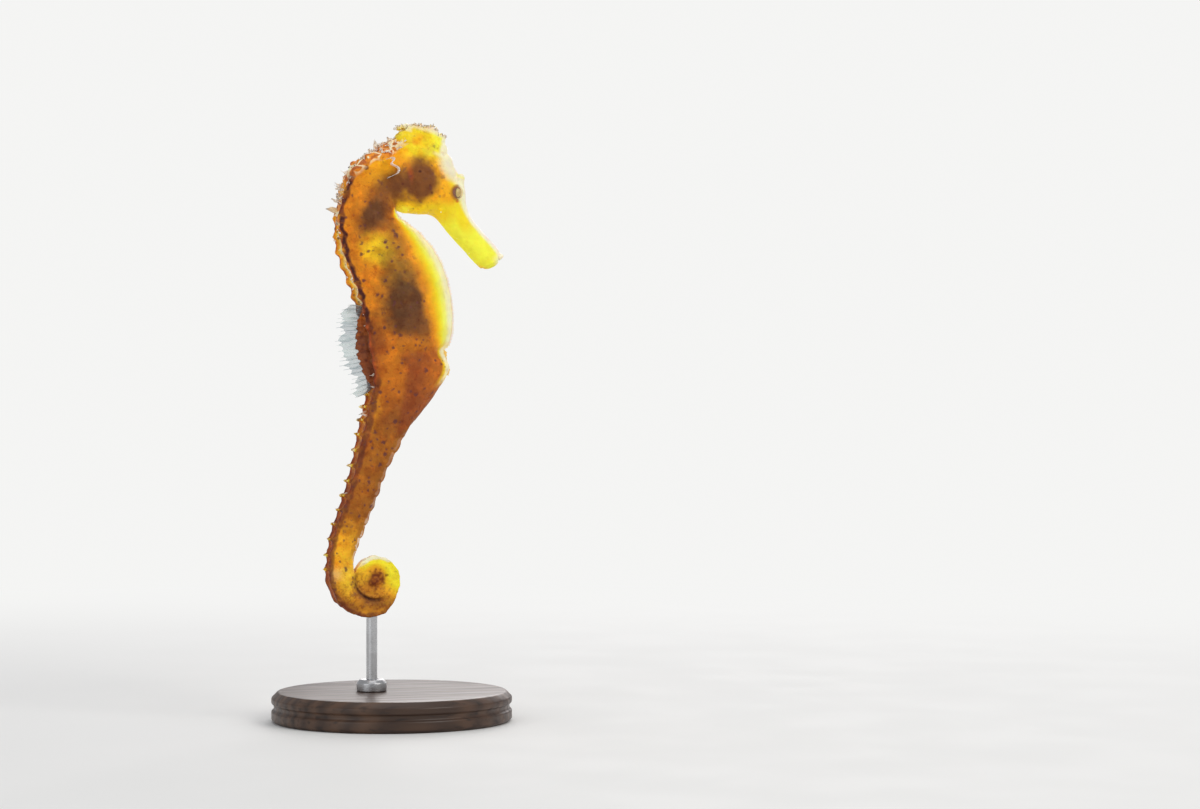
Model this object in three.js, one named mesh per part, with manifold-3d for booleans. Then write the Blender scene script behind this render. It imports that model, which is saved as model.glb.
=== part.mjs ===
// An adult male spotted seahorse at life size, tail coiled under it, held up by a small display stand.
// Millimetres, +Z up. The animal faces +X and its plane of symmetry is Y = 0, so its right side faces -Y.
// The origin is the middle of the underside of the stand's base.
import * as THREE from "three";
import { mergeVertices } from "three/addons/utils/BufferGeometryUtils.js";
import Module from "manifold-3d";

const wasm = await Module();
wasm.setup();

// ---------------------------------------------------------------- driving dimensions

const GAP = 0.3; // clearance between pieces that meet
const LIFT = 21; // height of the coil's underside above the table

const BASE = { radius: 24, height: 6, chamfer: 1.2, bead: 1.6, beadDepth: 0.5, sides: 32 };
const ROD = { radius: 1.1, sides: 12, saddle: 0.6, rimRoom: 0.1 }; // the saddle's reach up the coil's side
const COLLAR = { radius: 3, height: 2.4, chamfer: 0.6, sides: 20 };

const TRUNK_RINGS = 11;
const TAIL_RINGS = 37;
const FIRST_TO_LAST_TAIL_RING = 3; // how much longer the first tail ring is than the last
const CREST_AT = 0.55; // share of a ring's length where its bony rim stands highest

// The tail's coil: a spiral that shrinks by the same share each quarter turn. Angles run from the
// side where the tail comes down, under the coil, and up in front of it.
const COIL = {
  centre: [-4.15, 7.2],
  outerUnder: 7.1,
  quarterShrink: 0.81,
  lastAngle: 990,
  step: 30,
  widthShare: 1.04,
  sideDrift: 0.9,
  apart: { outerTurns: 0.46, innerTurns: 0.14, from: 560, to: 680 },
  wrappedFrom: 280, // past this angle the next turn out lies close over the coil's back
};

const EYE = { x: 12.4, z: 84.6, y: 2.75, radius: 1.45 };
const GILL_COVER = { x: 5.6, z: 86.9, y: 2.75, long: 4.6, tall: 4.1, thick: 2.1 };

// ---------------------------------------------------------------- the body's sections

// Half sections, from the middle of the back to the middle of the belly. Each point is the share
// of half the depth and the share of half the width. Points 2, 4, 6 and 8 are where a seahorse's
// bony ridges run: upper, side, lower and, on the belly, the keel.
const HALF_POINTS = 8;
const roundHalf = Array.from({ length: HALF_POINTS + 1 }, (_, i) => {
  const angle = (Math.PI * i) / HALF_POINTS;
  return [Math.cos(angle), Math.sin(angle)];
});
const FORMS = {
  snout: roundHalf,
  head: [
    [1, 0], [0.94, 0.32], [0.76, 0.6], [0.46, 0.83], [0.08, 0.98],
    [-0.32, 1], [-0.67, 0.78], [-0.9, 0.42], [-1, 0],
  ],
  neck: [
    [0.93, 0], [0.98, 0.3], [0.97, 0.58], [0.58, 0.84], [0.12, 1],
    [-0.3, 0.97], [-0.66, 0.76], [-0.9, 0.42], [-1, 0],
  ],
  trunk: [
    [0.9, 0], [0.95, 0.28], [1, 0.52], [0.62, 0.82], [0.2, 1],
    [-0.22, 0.94], [-0.6, 0.7], [-0.86, 0.36], [-1, 0],
  ],
  pouch: [
    [0.9, 0], [0.95, 0.36], [1, 0.66], [0.58, 0.88], [0.16, 1],
    [-0.28, 0.98], [-0.66, 0.82], [-0.91, 0.5], [-1, 0],
  ],
  tail: [
    [0.88, 0], [0.93, 0.42], [1, 0.86], [0.5, 0.93], [0, 0.97],
    [-0.5, 0.92], [-1, 0.78], [-0.96, 0.4], [-0.93, 0],
  ],
};

// The body's outline from mouth to tail: where each section meets the back and the belly, half its
// width, how far the skin's frill stands off the back there, and the form of the section.
const station = (name, back, belly, half, frill, form) =>
  ({ name, back, belly, half, frill, form, side: 0 });
const OUTLINE = [
  station("mouth", [22.9, 72.1], [18.5, 69.7], 2.05, 0, "snout"),
  station("lips", [21.7, 73.9], [17.1, 70.9], 2, 0, "snout"),
  station("snout", [18.5, 77.3], [14, 74.1], 1.85, 0, "snout"),
  station("snout root", [16.1, 80.2], [11.1, 77.2], 2.2, 0, "snout"),
  station("cheek front", [15.3, 82.6], [9.4, 79.3], 2.9, 0, "head"),
  station("eye", [15.1, 84.9], [7.7, 80.3], 3.7, 0, "head"),
  station("brow", [14.6, 87.1], [5.8, 80.3], 4.2, 0, "head"),
  station("forehead", [13.1, 89.5], [4.1, 80.4], 4.4, 0, "head"),
  station("crown front", [11.9, 91.9], [2.9, 80.5], 4.3, 0, "head"),
  station("crown", [9.4, 93.9], [2, 80.6], 4.3, 0, "head"),
  station("crown top", [5.6, 94.6], [1.2, 80.9], 4.4, 0.1, "head"),
  station("crown back", [2.1, 94.5], [0.7, 81.1], 4.4, 0.9, "head"),
  station("nape", [-1.2, 93.2], [0.5, 81.2], 4.2, 1.7, "head"),
  station("gill opening", [-4.5, 91.1], [0.4, 81.1], 3.9, 2, "neck"),
  station("neck back", [-7.3, 88.4], [0.6, 80.7], 3.9, 2, "neck"),
  station("neck", [-9.5, 84.8], [1, 80], 4.1, 1.9, "neck"),
  station("shoulder", [-10.7, 80.4], [2.2, 79], 4.5, 1.3, "trunk"),
  station("chest", [-10.7, 75.5], [6, 76.3], 5.2, 0.8, "trunk"),
  station("chest foot", [-9.6, 70.7], [9.7, 71.6], 5.8, 0.5, "trunk"),
  station("belly", [-7.5, 65.3], [11.8, 65.9], 6, 0.3, "trunk"),
  station("belly swell", [-6, 60.3], [12.6, 60.1], 5.8, 0.3, "trunk"),
  station("belly foot", [-5.2, 55.9], [12.2, 55.3], 5.3, 0.3, "trunk"),
  station("vent", [-4.6, 52.4], [10.7, 52.8], 4.8, 0.3, "trunk"),
  station("pouch", [-4.1, 49], [11.6, 49.4], 4.7, 0.2, "pouch"),
  station("pouch swell", [-4.1, 45.5], [9.6, 45.7], 4.4, 0.2, "pouch"),
  station("pouch foot", [-4.9, 42], [5.9, 40.6], 3.9, 0.2, "pouch"),
  station("tail top", [-6.1, 37.3], [1.3, 35], 3.4, 0.2, "tail"),
  station("tail upper", [-7.4, 31.3], [-1.7, 29.2], 3, 0.2, "tail"),
  station("tail middle", [-8.9, 25.3], [-3.8, 23.4], 2.7, 0.2, "tail"),
  station("tail lower", [-10.7, 20.2], [-5.8, 18.5], 2.5, 0.2, "tail"),
  station("tail bend", [-12.2, 15.4], [-7.4, 14.2], 2.35, 0.2, "tail"),
  station("tail foot", [-12.85, 11.1], [-8.3, 10.8], 2.2, 0.2, "tail"),
];

// Distance from the coil's centre to its outer edge, at an angle in degrees.
const coilOuter = (angle) => COIL.outerUnder * COIL.quarterShrink ** (angle / 90 - 1);

// A section of the coil: the next turn in lies a gap inside this one.
function coilStation(angle) {
  const turn = THREE.MathUtils.degToRad(angle);
  const outward = [-Math.cos(turn), -Math.sin(turn)];
  const { outerTurns, innerTurns, from, to } = COIL.apart;
  const gap = THREE.MathUtils.lerp(outerTurns, innerTurns, THREE.MathUtils.smoothstep(angle, from, to));
  const outer = coilOuter(angle);
  const inner = coilOuter(angle + 360) + gap;
  const at = (radius) => COIL.centre.map((c, i) => c + outward[i] * radius);
  const drift = THREE.MathUtils.smoothstep(angle, 150, COIL.lastAngle);
  return {
    ...station("coil", at(outer), at(inner), ((outer - inner) / 2) * COIL.widthShare, 0.05, "tail"),
    side: -COIL.sideDrift * drift,
  };
}

const coilStations = [];
for (let angle = 0; angle < COIL.lastAngle; angle += COIL.step) coilStations.push(coilStation(angle));
const STATIONS = [...OUTLINE, ...coilStations, coilStation(COIL.lastAngle)];
const LAST = STATIONS.length - 1;

// Where a named section lies along the body. The body's coordinate u counts sections.
const at = (name) => STATIONS.findIndex((s) => s.name === name);

// A Catmull-Rom curve through values that are one apart, at u.
function smooth(valueAt, u) {
  const i = THREE.MathUtils.clamp(Math.floor(u), 0, LAST - 1);
  const t = u - i;
  const before = valueAt(Math.max(i - 1, 0));
  const [a, b] = [valueAt(i), valueAt(i + 1)];
  const after = valueAt(Math.min(i + 2, LAST));
  const slopeA = (b - before) / 2;
  const slopeB = (after - a) / 2;
  return (
    a * (2 * t ** 3 - 3 * t ** 2 + 1) + b * (3 * t ** 2 - 2 * t ** 3) +
    slopeA * (t ** 3 - 2 * t ** 2 + t) + slopeB * (t ** 3 - t ** 2)
  );
}

// Vertices round a section: 0 on the back, 8 on the belly, 1 to 7 on the right, 9 to 15 on the left.
const ROUND = 2 * HALF_POINTS;
const BACK = 0;
const BELLY = HALF_POINTS;
const RIDGES = { upper: 2, side: 4, lower: 6 };

// One control vertex of the body: section i, vertex k.
function controlPoint(i, k) {
  const s = STATIONS[i];
  const onRight = k <= HALF_POINTS;
  const [deep, wide] = FORMS[s.form][onRight ? k : ROUND - k];
  const back = new THREE.Vector3(s.back[0], s.side, s.back[1]);
  const belly = new THREE.Vector3(s.belly[0], s.side, s.belly[1]);
  const upward = back.clone().sub(belly).normalize();
  const middle = back.clone().add(belly).multiplyScalar(0.5);
  const halfDepth = back.distanceTo(belly) / 2;
  const frill = s.frill * Math.max(0, deep) ** 4;
  return middle
    .addScaledVector(upward, deep * halfDepth + frill)
    .add(new THREE.Vector3(0, (onRight ? -1 : 1) * wide * s.half, 0));
}

const controlNet = STATIONS.map((_, i) => Array.from({ length: ROUND }, (_, k) => controlPoint(i, k)));

// A point of the smooth body at u, on the line that vertex k follows.
const bodyPoint = (u, k) =>
  new THREE.Vector3(
    smooth((i) => controlNet[i][k].x, u),
    smooth((i) => controlNet[i][k].y, u),
    smooth((i) => controlNet[i][k].z, u),
  );
const bodyMiddle = (u) => bodyPoint(u, BACK).add(bodyPoint(u, BELLY)).multiplyScalar(0.5);

// Length of the body's middle line up to each of many places, to turn lengths into u.
const SAMPLES_PER_STATION = 20;
const lengthTable = [0];
for (let n = 1; n <= LAST * SAMPLES_PER_STATION; n++) {
  const [from, to] = [(n - 1) / SAMPLES_PER_STATION, n / SAMPLES_PER_STATION];
  lengthTable.push(lengthTable[n - 1] + bodyMiddle(from).distanceTo(bodyMiddle(to)));
}
const lengthAt = (u) => {
  const n = Math.min(Math.floor(u * SAMPLES_PER_STATION), lengthTable.length - 2);
  return lengthTable[n] + (lengthTable[n + 1] - lengthTable[n]) * (u * SAMPLES_PER_STATION - n);
};
const placeAt = (length) => {
  const n = Math.max(1, lengthTable.findIndex((l) => l >= length));
  const part = (length - lengthTable[n - 1]) / (lengthTable[n] - lengthTable[n - 1]);
  return (n - 1 + part) / SAMPLES_PER_STATION;
};

// ---------------------------------------------------------------- the bony rings

// Where each ring starts, from the gill opening to the tip of the tail, as lengths.
function ringStarts() {
  const [neck, vent, tip] = [at("gill opening"), at("vent"), LAST].map(lengthAt);
  const starts = [];
  for (let r = 0; r < TRUNK_RINGS; r++) starts.push(neck + ((vent - neck) * r) / TRUNK_RINGS);
  const weights = Array.from({ length: TAIL_RINGS }, (_, r) =>
    THREE.MathUtils.lerp(FIRST_TO_LAST_TAIL_RING, 1, r / (TAIL_RINGS - 1)),
  );
  const total = weights.reduce((a, b) => a + b);
  let place = vent;
  for (const weight of weights) {
    starts.push(place);
    place += ((tip - vent) * weight) / total;
  }
  return [...starts, tip];
}
const RING_STARTS = ringStarts();
const RINGS = TRUNK_RINGS + TAIL_RINGS;
const ringStart = (ring) => placeAt(RING_STARTS[ring]);
const ringCrest = (ring) =>
  placeAt(THREE.MathUtils.lerp(RING_STARTS[ring], RING_STARTS[ring + 1], CREST_AT));

// How far ring r's rim and its ridges stand out of the skin, and how tall its spines are.
const tailShare = (ring) => Math.max(0, ring - TRUNK_RINGS) / TAIL_RINGS;
const wrapped = (ring) => ringCrest(ring) > at("coil") + COIL.wrappedFrom / COIL.step;
const rimHeight = (ring) => 0.16 * (1 - tailShare(ring));
const ridgeHeight = (ring) => 0.3 * (1 - tailShare(ring)) ** 2;
const SPINES = {
  upper: (ring) => (ring < TRUNK_RINGS ? 0.85 : wrapped(ring) ? 0 : 1.35 * (1 - 0.85 * tailShare(ring))),
  side: (ring) => (ring < TRUNK_RINGS ? 0.6 : 0),
};
const SPINE_SIDES = 5;
const SPINE_SUNK = 0.35;
const SMALLEST_SPINE = 0.55;
const SMALLEST_RIM = 0.075; // rings with a lower rim than this have no furrow between them

// ---------------------------------------------------------------- making closed solids

// A closed geometry through sections of equal size, with a flat end on the first and the last.
function loft(sections) {
  const round = sections[0].length;
  const points = sections.flat();
  const triangles = [];
  const quad = (a, b, c, d) => triangles.push(a, b, c, a, c, d);
  for (let s = 0; s < sections.length - 1; s++)
    for (let k = 0; k < round; k++) {
      const next = (k + 1) % round;
      quad(s * round + k, s * round + next, (s + 1) * round + next, (s + 1) * round + k);
    }
  for (const [section, first] of [[0, true], [sections.length - 1, false]]) {
    const middle = new THREE.Vector3();
    sections[section].forEach((p) => middle.addScaledVector(p, 1 / round));
    points.push(middle);
    for (let k = 0; k < round; k++) {
      const [a, b] = [section * round + k, section * round + ((k + 1) % round)];
      if (first) triangles.push(points.length - 1, b, a);
      else triangles.push(points.length - 1, a, b);
    }
  }
  const geometry = new THREE.BufferGeometry().setFromPoints(points);
  geometry.setIndex(triangles);
  return geometry;
}

// Six times the volume inside a closed geometry's triangles: below zero where they face inwards.
function signedVolume(positions, index) {
  const [a, b, c] = [new THREE.Vector3(), new THREE.Vector3(), new THREE.Vector3()];
  let total = 0;
  for (let i = 0; i < index.length; i += 3) {
    [a, b, c].forEach((corner, n) => corner.fromBufferAttribute(positions, index[i + n]));
    total += a.dot(b.cross(c));
  }
  return total;
}

// A geometry as a manifold-3d solid, turned right side out if its faces point inwards.
function solid(geometry) {
  const bare = geometry.clone();
  for (const name of ["normal", "uv"]) bare.deleteAttribute(name);
  const merged = mergeVertices(bare, 1e-4);
  const index = Array.from(merged.index.array);
  if (signedVolume(merged.attributes.position, index) < 0) index.reverse();
  return new wasm.Manifold(
    new wasm.Mesh({
      numProp: 3,
      vertProperties: new Float32Array(merged.attributes.position.array),
      triVerts: new Uint32Array(index),
    }),
  );
}

// A solid as a three.js geometry.
function geometryOf(made) {
  const mesh = made.getMesh();
  const geometry = new THREE.BufferGeometry();
  const points = new Float32Array(mesh.numVert * 3);
  for (let i = 0; i < mesh.numVert; i++)
    points.set(mesh.vertProperties.subarray(i * mesh.numProp, i * mesh.numProp + 3), i * 3);
  geometry.setAttribute("position", new THREE.BufferAttribute(points, 3));
  geometry.setIndex(new THREE.BufferAttribute(new Uint32Array(mesh.triVerts), 1));
  geometry.computeVertexNormals();
  return geometry;
}

const mirrored = (made) => solid(geometryOf(made).scale(1, -1, 1));

// ---------------------------------------------------------------- lengths of the body

// The body's section at u, moved outwards by swell, and by rim and, at its ridges, by ridge. In the
// coil the belly side is left smooth, because the next turn lies against it.
function section(u, swell = 0, rim = 0, ridge = 0) {
  const middle = bodyMiddle(u);
  return Array.from({ length: ROUND }, (_, k) => {
    const point = bodyPoint(u, k);
    const onRidge = Object.values(RIDGES).some((r) => r === k || r === ROUND - k) || k === BELLY;
    const smoothSide = u > at("tail bend") && Math.abs(k - BELLY) < BELLY - RIDGES.side;
    const outward = point.clone().sub(middle).normalize();
    return point.addScaledVector(outward, swell + (smoothSide ? 0 : rim + (onRidge ? ridge : 0)));
  });
}

// A plain length of the body between two places, with sections a given number of stations apart.
function plainLength(from, to, step, swell = 0) {
  const count = Math.max(1, Math.round((to - from) / step));
  return loft(
    Array.from({ length: count + 1 }, (_, i) => section(THREE.MathUtils.lerp(from, to, i / count), swell)),
  );
}

// A place moved along the body by a length.
const moved = (u, length) => placeAt(lengthAt(u) + length);

// A spine on a ridge at the crest of a ring: a small cone, leaning back a little.
function spine(ring, ridge, left, height) {
  const k = left ? ROUND - RIDGES[ridge] : RIDGES[ridge];
  const u = ringCrest(ring);
  const foot = bodyPoint(u, k);
  const outward = foot.clone().sub(bodyMiddle(u)).normalize();
  const along = bodyPoint(moved(u, 0.5), k).sub(foot).normalize();
  outward.addScaledVector(along, 0.15).normalize();
  const full = height + SPINE_SUNK + ridgeHeight(ring);
  const cone = new THREE.ConeGeometry(0.3 + 0.28 * height, full, SPINE_SIDES);
  cone.applyQuaternion(new THREE.Quaternion().setFromUnitVectors(new THREE.Vector3(0, 1, 0), outward));
  const middle = foot.addScaledVector(outward, full / 2 - SPINE_SUNK);
  return solid(cone.translate(middle.x, middle.y, middle.z));
}

// A solid with the spines of rings first up to end joined to it.
function withSpines(made, first, end) {
  let whole = made;
  for (let ring = first; ring < end; ring++)
    for (const [ridge, heightOf] of Object.entries(SPINES)) {
      const height = heightOf(ring);
      if (height < SMALLEST_SPINE) continue;
      whole = whole.add(spine(ring, ridge, false, height)).add(spine(ring, ridge, true, height));
    }
  return whole;
}

// A length of ringed body from ring first up to ring end, with its spines.
function ringedLength(first, end) {
  const sections = [section(moved(ringStart(first), GAP / 2))];
  for (let ring = first; ring < end; ring++) {
    if (ring > first && rimHeight(ring) > SMALLEST_RIM) sections.push(section(ringStart(ring)));
    sections.push(section(ringCrest(ring), 0, rimHeight(ring), ridgeHeight(ring)));
  }
  sections.push(section(end < RINGS ? moved(ringStart(end), -GAP / 2) : LAST));
  return withSpines(solid(loft(sections)), first, end);
}

// ---------------------------------------------------------------- head

// A ball or egg with its middle at x, y, z.
const egg = (x, y, z, [rx, ry, rz], around, up) =>
  solid(new THREE.SphereGeometry(1, around, up).scale(rx, ry, rz).translate(x, y, z));

const eyeBall = (swell = 0) => egg(EYE.x, -EYE.y, EYE.z, Array(3).fill(EYE.radius + swell), 12, 8);
const gillCover = (swell = 0) =>
  egg(GILL_COVER.x, -GILL_COVER.y, GILL_COVER.z,
    [GILL_COVER.long, GILL_COVER.thick, GILL_COVER.tall].map((r) => r + swell), 12, 8);

// The coronet: a low crown that flares into five blunt points, its top hollowed, leaning forwards.
// Its levels go up from the foot: lobe is how far the points reach out, as a share, and rise how far
// they stand above the hollows between them.
const CORONET = {
  foot: [4.8, 92.5],
  lean: 17,
  points: 5,
  round: 20,
  levels: [
    { up: 0, long: 5.4, wide: 3.4, lobe: 0, rise: 0 },
    { up: 1.8, long: 5, wide: 2.9, lobe: 0.02, rise: 0 },
    { up: 3.3, long: 4.9, wide: 2.9, lobe: 0.06, rise: 0 },
    { up: 4.6, long: 4.6, wide: 3, lobe: 0.13, rise: 0.35 },
    { up: 5.3, long: 3.6, wide: 2.4, lobe: 0.16, rise: 0.35 },
    { up: 4.4, long: 1.6, wide: 1, lobe: 0.05, rise: 0 },
  ],
};

function coronet() {
  const sections = CORONET.levels.map(({ up, long, wide, lobe, rise }) =>
    Array.from({ length: CORONET.round }, (_, k) => {
      const turn = (2 * Math.PI * k) / CORONET.round;
      const point = Math.cos(CORONET.points * turn);
      const reach = 1 + lobe * point;
      return new THREE.Vector3(
        long * reach * Math.cos(turn),
        wide * reach * Math.sin(turn),
        up + rise * point,
      );
    }),
  );
  const lean = THREE.MathUtils.degToRad(CORONET.lean);
  const whole = loft(sections).rotateY(lean).translate(CORONET.foot[0], 0, CORONET.foot[1]);
  return solid(whole).subtract(solid(plainLength(at("eye"), at("nape"), 0.5, GAP)));
}

// Knobs and spines of the head: over each eye, under the cheek and under the gill cover.
const HEAD_SPINES = [
  { foot: [13.3, -2.1, 86.2], tip: [14.3, -2.8, 88.4], radius: 1.2 },
  { foot: [9.2, -3.1, 81.2], tip: [9.1, -4.3, 80.2], radius: 0.55 },
  { foot: [2.2, -2.7, 83.2], tip: [1.8, -4.1, 81.7], radius: 0.6 },
];
const HEAD_SPINE_SIDES = 6;

function headSpine({ foot, tip, radius }) {
  const [from, to] = [new THREE.Vector3(...foot), new THREE.Vector3(...tip)];
  const way = to.clone().sub(from);
  const height = way.length() + SPINE_SUNK;
  const cone = new THREE.CylinderGeometry(radius * 0.4, radius, height, HEAD_SPINE_SIDES);
  cone.applyQuaternion(
    new THREE.Quaternion().setFromUnitVectors(new THREE.Vector3(0, 1, 0), way.normalize()),
  );
  const middle = to.addScaledVector(way, -height / 2);
  return solid(cone.translate(middle.x, middle.y, middle.z));
}

function head() {
  const from = moved(at("cheek front"), GAP / 2);
  const to = moved(at("gill opening"), -GAP / 2);
  let made = solid(plainLength(from, to, 0.75)).add(gillCover()).add(mirrored(gillCover()));
  for (const place of HEAD_SPINES) {
    const knob = headSpine(place);
    made = made.add(knob).add(mirrored(knob));
  }
  const socket = eyeBall(GAP);
  return made.subtract(socket).subtract(mirrored(socket));
}

// The end of the snout, with the slot of the mouth across it.
const MOUTH_SLOT = { size: [2.2, 1.9, 0.5], tilt: 50, at: [20.9, 0, 70.9] };

function mouth() {
  const rim = section(0).map((p) => p.lerp(bodyMiddle(0), 0.12));
  const tip = loft([rim, section(0.2), section(moved(at("lips"), -GAP / 2))]);
  const slot = new THREE.BoxGeometry(...MOUTH_SLOT.size);
  slot.rotateY(THREE.MathUtils.degToRad(MOUTH_SLOT.tilt)).translate(...MOUTH_SLOT.at);
  return solid(tip).subtract(solid(slot));
}

// ---------------------------------------------------------------- fins

// A fan of thin rays: base and rim are functions of the share along the fin, and face is the
// direction across its thin side. The rays stand proud of the web between them.
function fan({ base, rim, face, rays, web, ray, rows, scallop }) {
  const columns = 2 * rays;
  const line = (c, sign) =>
    Array.from({ length: rows + 1 }, (_, r) => {
      const inWeb = c % 2 === 1;
      const reach = (r / rows) * (inWeb ? 1 - scallop : 1);
      const point = base(c / columns).lerp(rim(c / columns), reach);
      return point.addScaledVector(face, (sign * (inWeb ? web : ray)) / 2);
    });
  return solid(
    loft(Array.from({ length: columns + 1 }, (_, c) => [...line(c, 1), ...line(c, -1).reverse()])),
  );
}

// A swollen plain length of the body, to cut the foot of a fin to the shape of the skin.
const bodyUnderFin = (from, to) => solid(plainLength(at(from), at(to), 0.5, GAP + 0.25));

// The fin on the back, over the join of trunk and tail: a rounded fan, tallest just above its
// middle, that droops towards its foot.
const DORSAL_FIN = {
  fromRing: 8.4, toRing: 12.7, rays: 17, web: 0.5, ray: 0.75,
  tall: 8.6, topShare: 0.57, footShare: 0.5, // the ends' heights as shares of the tallest
  topRise: 0.6, footDroop: 2, wave: 0.3, sunk: 0.8,
};

function dorsalFin() {
  const { fromRing, toRing, tall, topShare, footShare, topRise, footDroop, wave, sunk } = DORSAL_FIN;
  const ringPlace = (ring) => {
    const [before, after] = [Math.floor(ring), Math.ceil(ring)].map((r) => RING_STARTS[r]);
    return placeAt(THREE.MathUtils.lerp(before, after, ring % 1));
  };
  const base = (share) => {
    const u = THREE.MathUtils.lerp(ringPlace(fromRing), ringPlace(toRing), share);
    return bodyPoint(u, BACK).add(new THREE.Vector3(sunk, 0, 0));
  };
  const rim = (share) => {
    const ends = THREE.MathUtils.lerp(topShare, footShare, share);
    const height = tall * (ends + (1 - ends) * Math.sin(Math.PI * share ** 0.85));
    const up = THREE.MathUtils.lerp(topRise, -footDroop, share);
    return base(share).add(new THREE.Vector3(-height, wave * Math.sin(4 * Math.PI * share), up));
  };
  const whole = fan({ ...DORSAL_FIN, base, rim, face: new THREE.Vector3(0, 1, 0), rows: 2, scallop: 0.05 });
  return whole.subtract(bodyUnderFin("belly", "pouch foot"));
}

// A small fan fin on the side of the neck, just behind the gill cover, held out from the body.
const SIDE_FIN = {
  top: [-1.5, -3, 90.4], bottom: [-1.9, -3.2, 86.3], rays: 12, web: 0.5, ray: 0.7,
  reach: 5, endShare: 0.62, // the ends' reach as a share of the longest
  forward: 1, flare: 0.9,
};

function sideFin() {
  const { reach, endShare, forward, flare } = SIDE_FIN;
  const [top, bottom] = [SIDE_FIN.top, SIDE_FIN.bottom].map((p) => new THREE.Vector3(...p));
  const base = (share) => top.clone().lerp(bottom, share);
  const rim = (share) => {
    const out = reach * (endShare + (1 - endShare) * Math.sin(Math.PI * share));
    const curl = forward * Math.sin(Math.PI * (0.15 + 1.1 * share));
    return base(share).add(new THREE.Vector3(curl, -out, flare * (0.5 - share)));
  };
  const face = new THREE.Vector3(1, 0.2, 0).normalize();
  const whole = fan({ ...SIDE_FIN, base, rim, face, rows: 1, scallop: 0.05 });
  return whole.subtract(bodyUnderFin("crown front", "shoulder")).subtract(gillCover(GAP));
}

// The tiny fin in front of the pouch.
const ANAL_FIN = {
  at: "vent", rays: 4, web: 0.5, ray: 0.65, length: 1.4, reach: 1.7, droop: 0.7, sunk: 0.6,
};

function analFin() {
  const { length, reach, droop, sunk } = ANAL_FIN;
  const root = bodyPoint(at(ANAL_FIN.at), BELLY).add(new THREE.Vector3(-sunk, 0, 0));
  const base = (share) => root.clone().add(new THREE.Vector3(0, 0, length * (0.5 - share)));
  const rim = (share) => base(share).add(new THREE.Vector3(reach, 0, -droop * share));
  const whole = fan({ ...ANAL_FIN, base, rim, face: new THREE.Vector3(0, 1, 0), rows: 2, scallop: 0.08 });
  return whole.subtract(bodyUnderFin("belly", "pouch foot"));
}

// ---------------------------------------------------------------- pouch

// The brood pouch is the front of the tail's first rings. The line where it meets the tail starts
// at the side ridge and slants forwards as the pouch tapers, given as vertex numbers of a section.
const POUCH = { rings: 5, lineAtTop: 3.7, lineAtFoot: 5.3, behindPoints: 3, frontPoints: 4 };
const BELOW_POUCH = TRUNK_RINGS + POUCH.rings;

// A point of a section's outline between two of its vertices, on the right or the left side.
function outlinePoint(points, place, left) {
  const k = Math.min(Math.floor(place), HALF_POINTS - 1);
  const [a, b] = [k, k + 1].map((n) => points[left && n > 0 ? (ROUND - n) % ROUND : n]);
  return a.clone().lerp(b, place - k);
}

// The part of a section behind the pouch's line, or in front of it, as a closed outline.
function splitSection(points, place, inFront) {
  const between = (from, to, count) =>
    Array.from({ length: count + 1 }, (_, i) => THREE.MathUtils.lerp(from, to, i / count));
  const places = inFront
    ? between(place, HALF_POINTS, POUCH.frontPoints)
    : [...between(place, RIDGES.upper, POUCH.behindPoints), 1, 0];
  const right = places.map((p) => outlinePoint(points, p, false));
  const left = places.slice(0, -1).reverse().map((p) => outlinePoint(points, p, true));
  const forward = points[BELLY].clone().sub(points[BACK]).normalize();
  const apart = (inFront ? GAP : -GAP) / 2;
  right[0].addScaledVector(forward, apart);
  left[left.length - 1].addScaledVector(forward, apart);
  return [...right, ...left];
}

// The pouch, or the tail behind it.
function pouchLength(inFront) {
  const [first, end] = [TRUNK_RINGS, BELOW_POUCH];
  const places = [[moved(ringStart(first), GAP / 2), 0]];
  for (let ring = first; ring < end; ring++) {
    if (ring > first) places.push([ringStart(ring), 0]);
    places.push([ringCrest(ring), inFront ? 0 : 1]);
  }
  places.push([moved(ringStart(end), -GAP / 2), 0]);
  return loft(
    places.map(([u, crest]) => {
      const share = (lengthAt(u) - RING_STARTS[first]) / (RING_STARTS[end] - RING_STARTS[first]);
      const line = THREE.MathUtils.lerp(POUCH.lineAtTop, POUCH.lineAtFoot, share ** 2);
      const points = section(u, 0, crest * rimHeight(first), crest * ridgeHeight(first));
      return splitSection(points, line, inFront);
    }),
  );
}

// ---------------------------------------------------------------- stand

// A turned base: a disc with a chamfered rim and a bead cut round its side.
function standBase() {
  const { radius, height, chamfer, bead, beadDepth, sides } = BASE;
  const profile = [
    [0, 0], [radius - 0.6, 0], [radius, 0.6], [radius, height / 2 - bead / 2],
    [radius - beadDepth, height / 2 - bead / 4], [radius - beadDepth, height / 2 + bead / 4],
    [radius, height / 2 + bead / 2], [radius, height - chamfer], [radius - chamfer, height], [0, height],
  ].map(([x, y]) => new THREE.Vector2(x, y));
  return solid(new THREE.LatheGeometry(profile, sides).rotateX(Math.PI / 2));
}

// The collar that holds the rod's foot on the base.
function standCollar() {
  const { radius, height, chamfer, sides } = COLLAR;
  const bore = ROD.radius + GAP;
  const profile = [
    [bore, 0], [radius, 0], [radius, height - chamfer], [radius - chamfer, height],
    [bore, height], [bore, 0],
  ].map(([x, y]) => new THREE.Vector2(x, y));
  const ring = new THREE.LatheGeometry(profile, sides).rotateX(Math.PI / 2);
  return solid(ring.translate(COIL.centre[0], 0, BASE.height));
}

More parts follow.
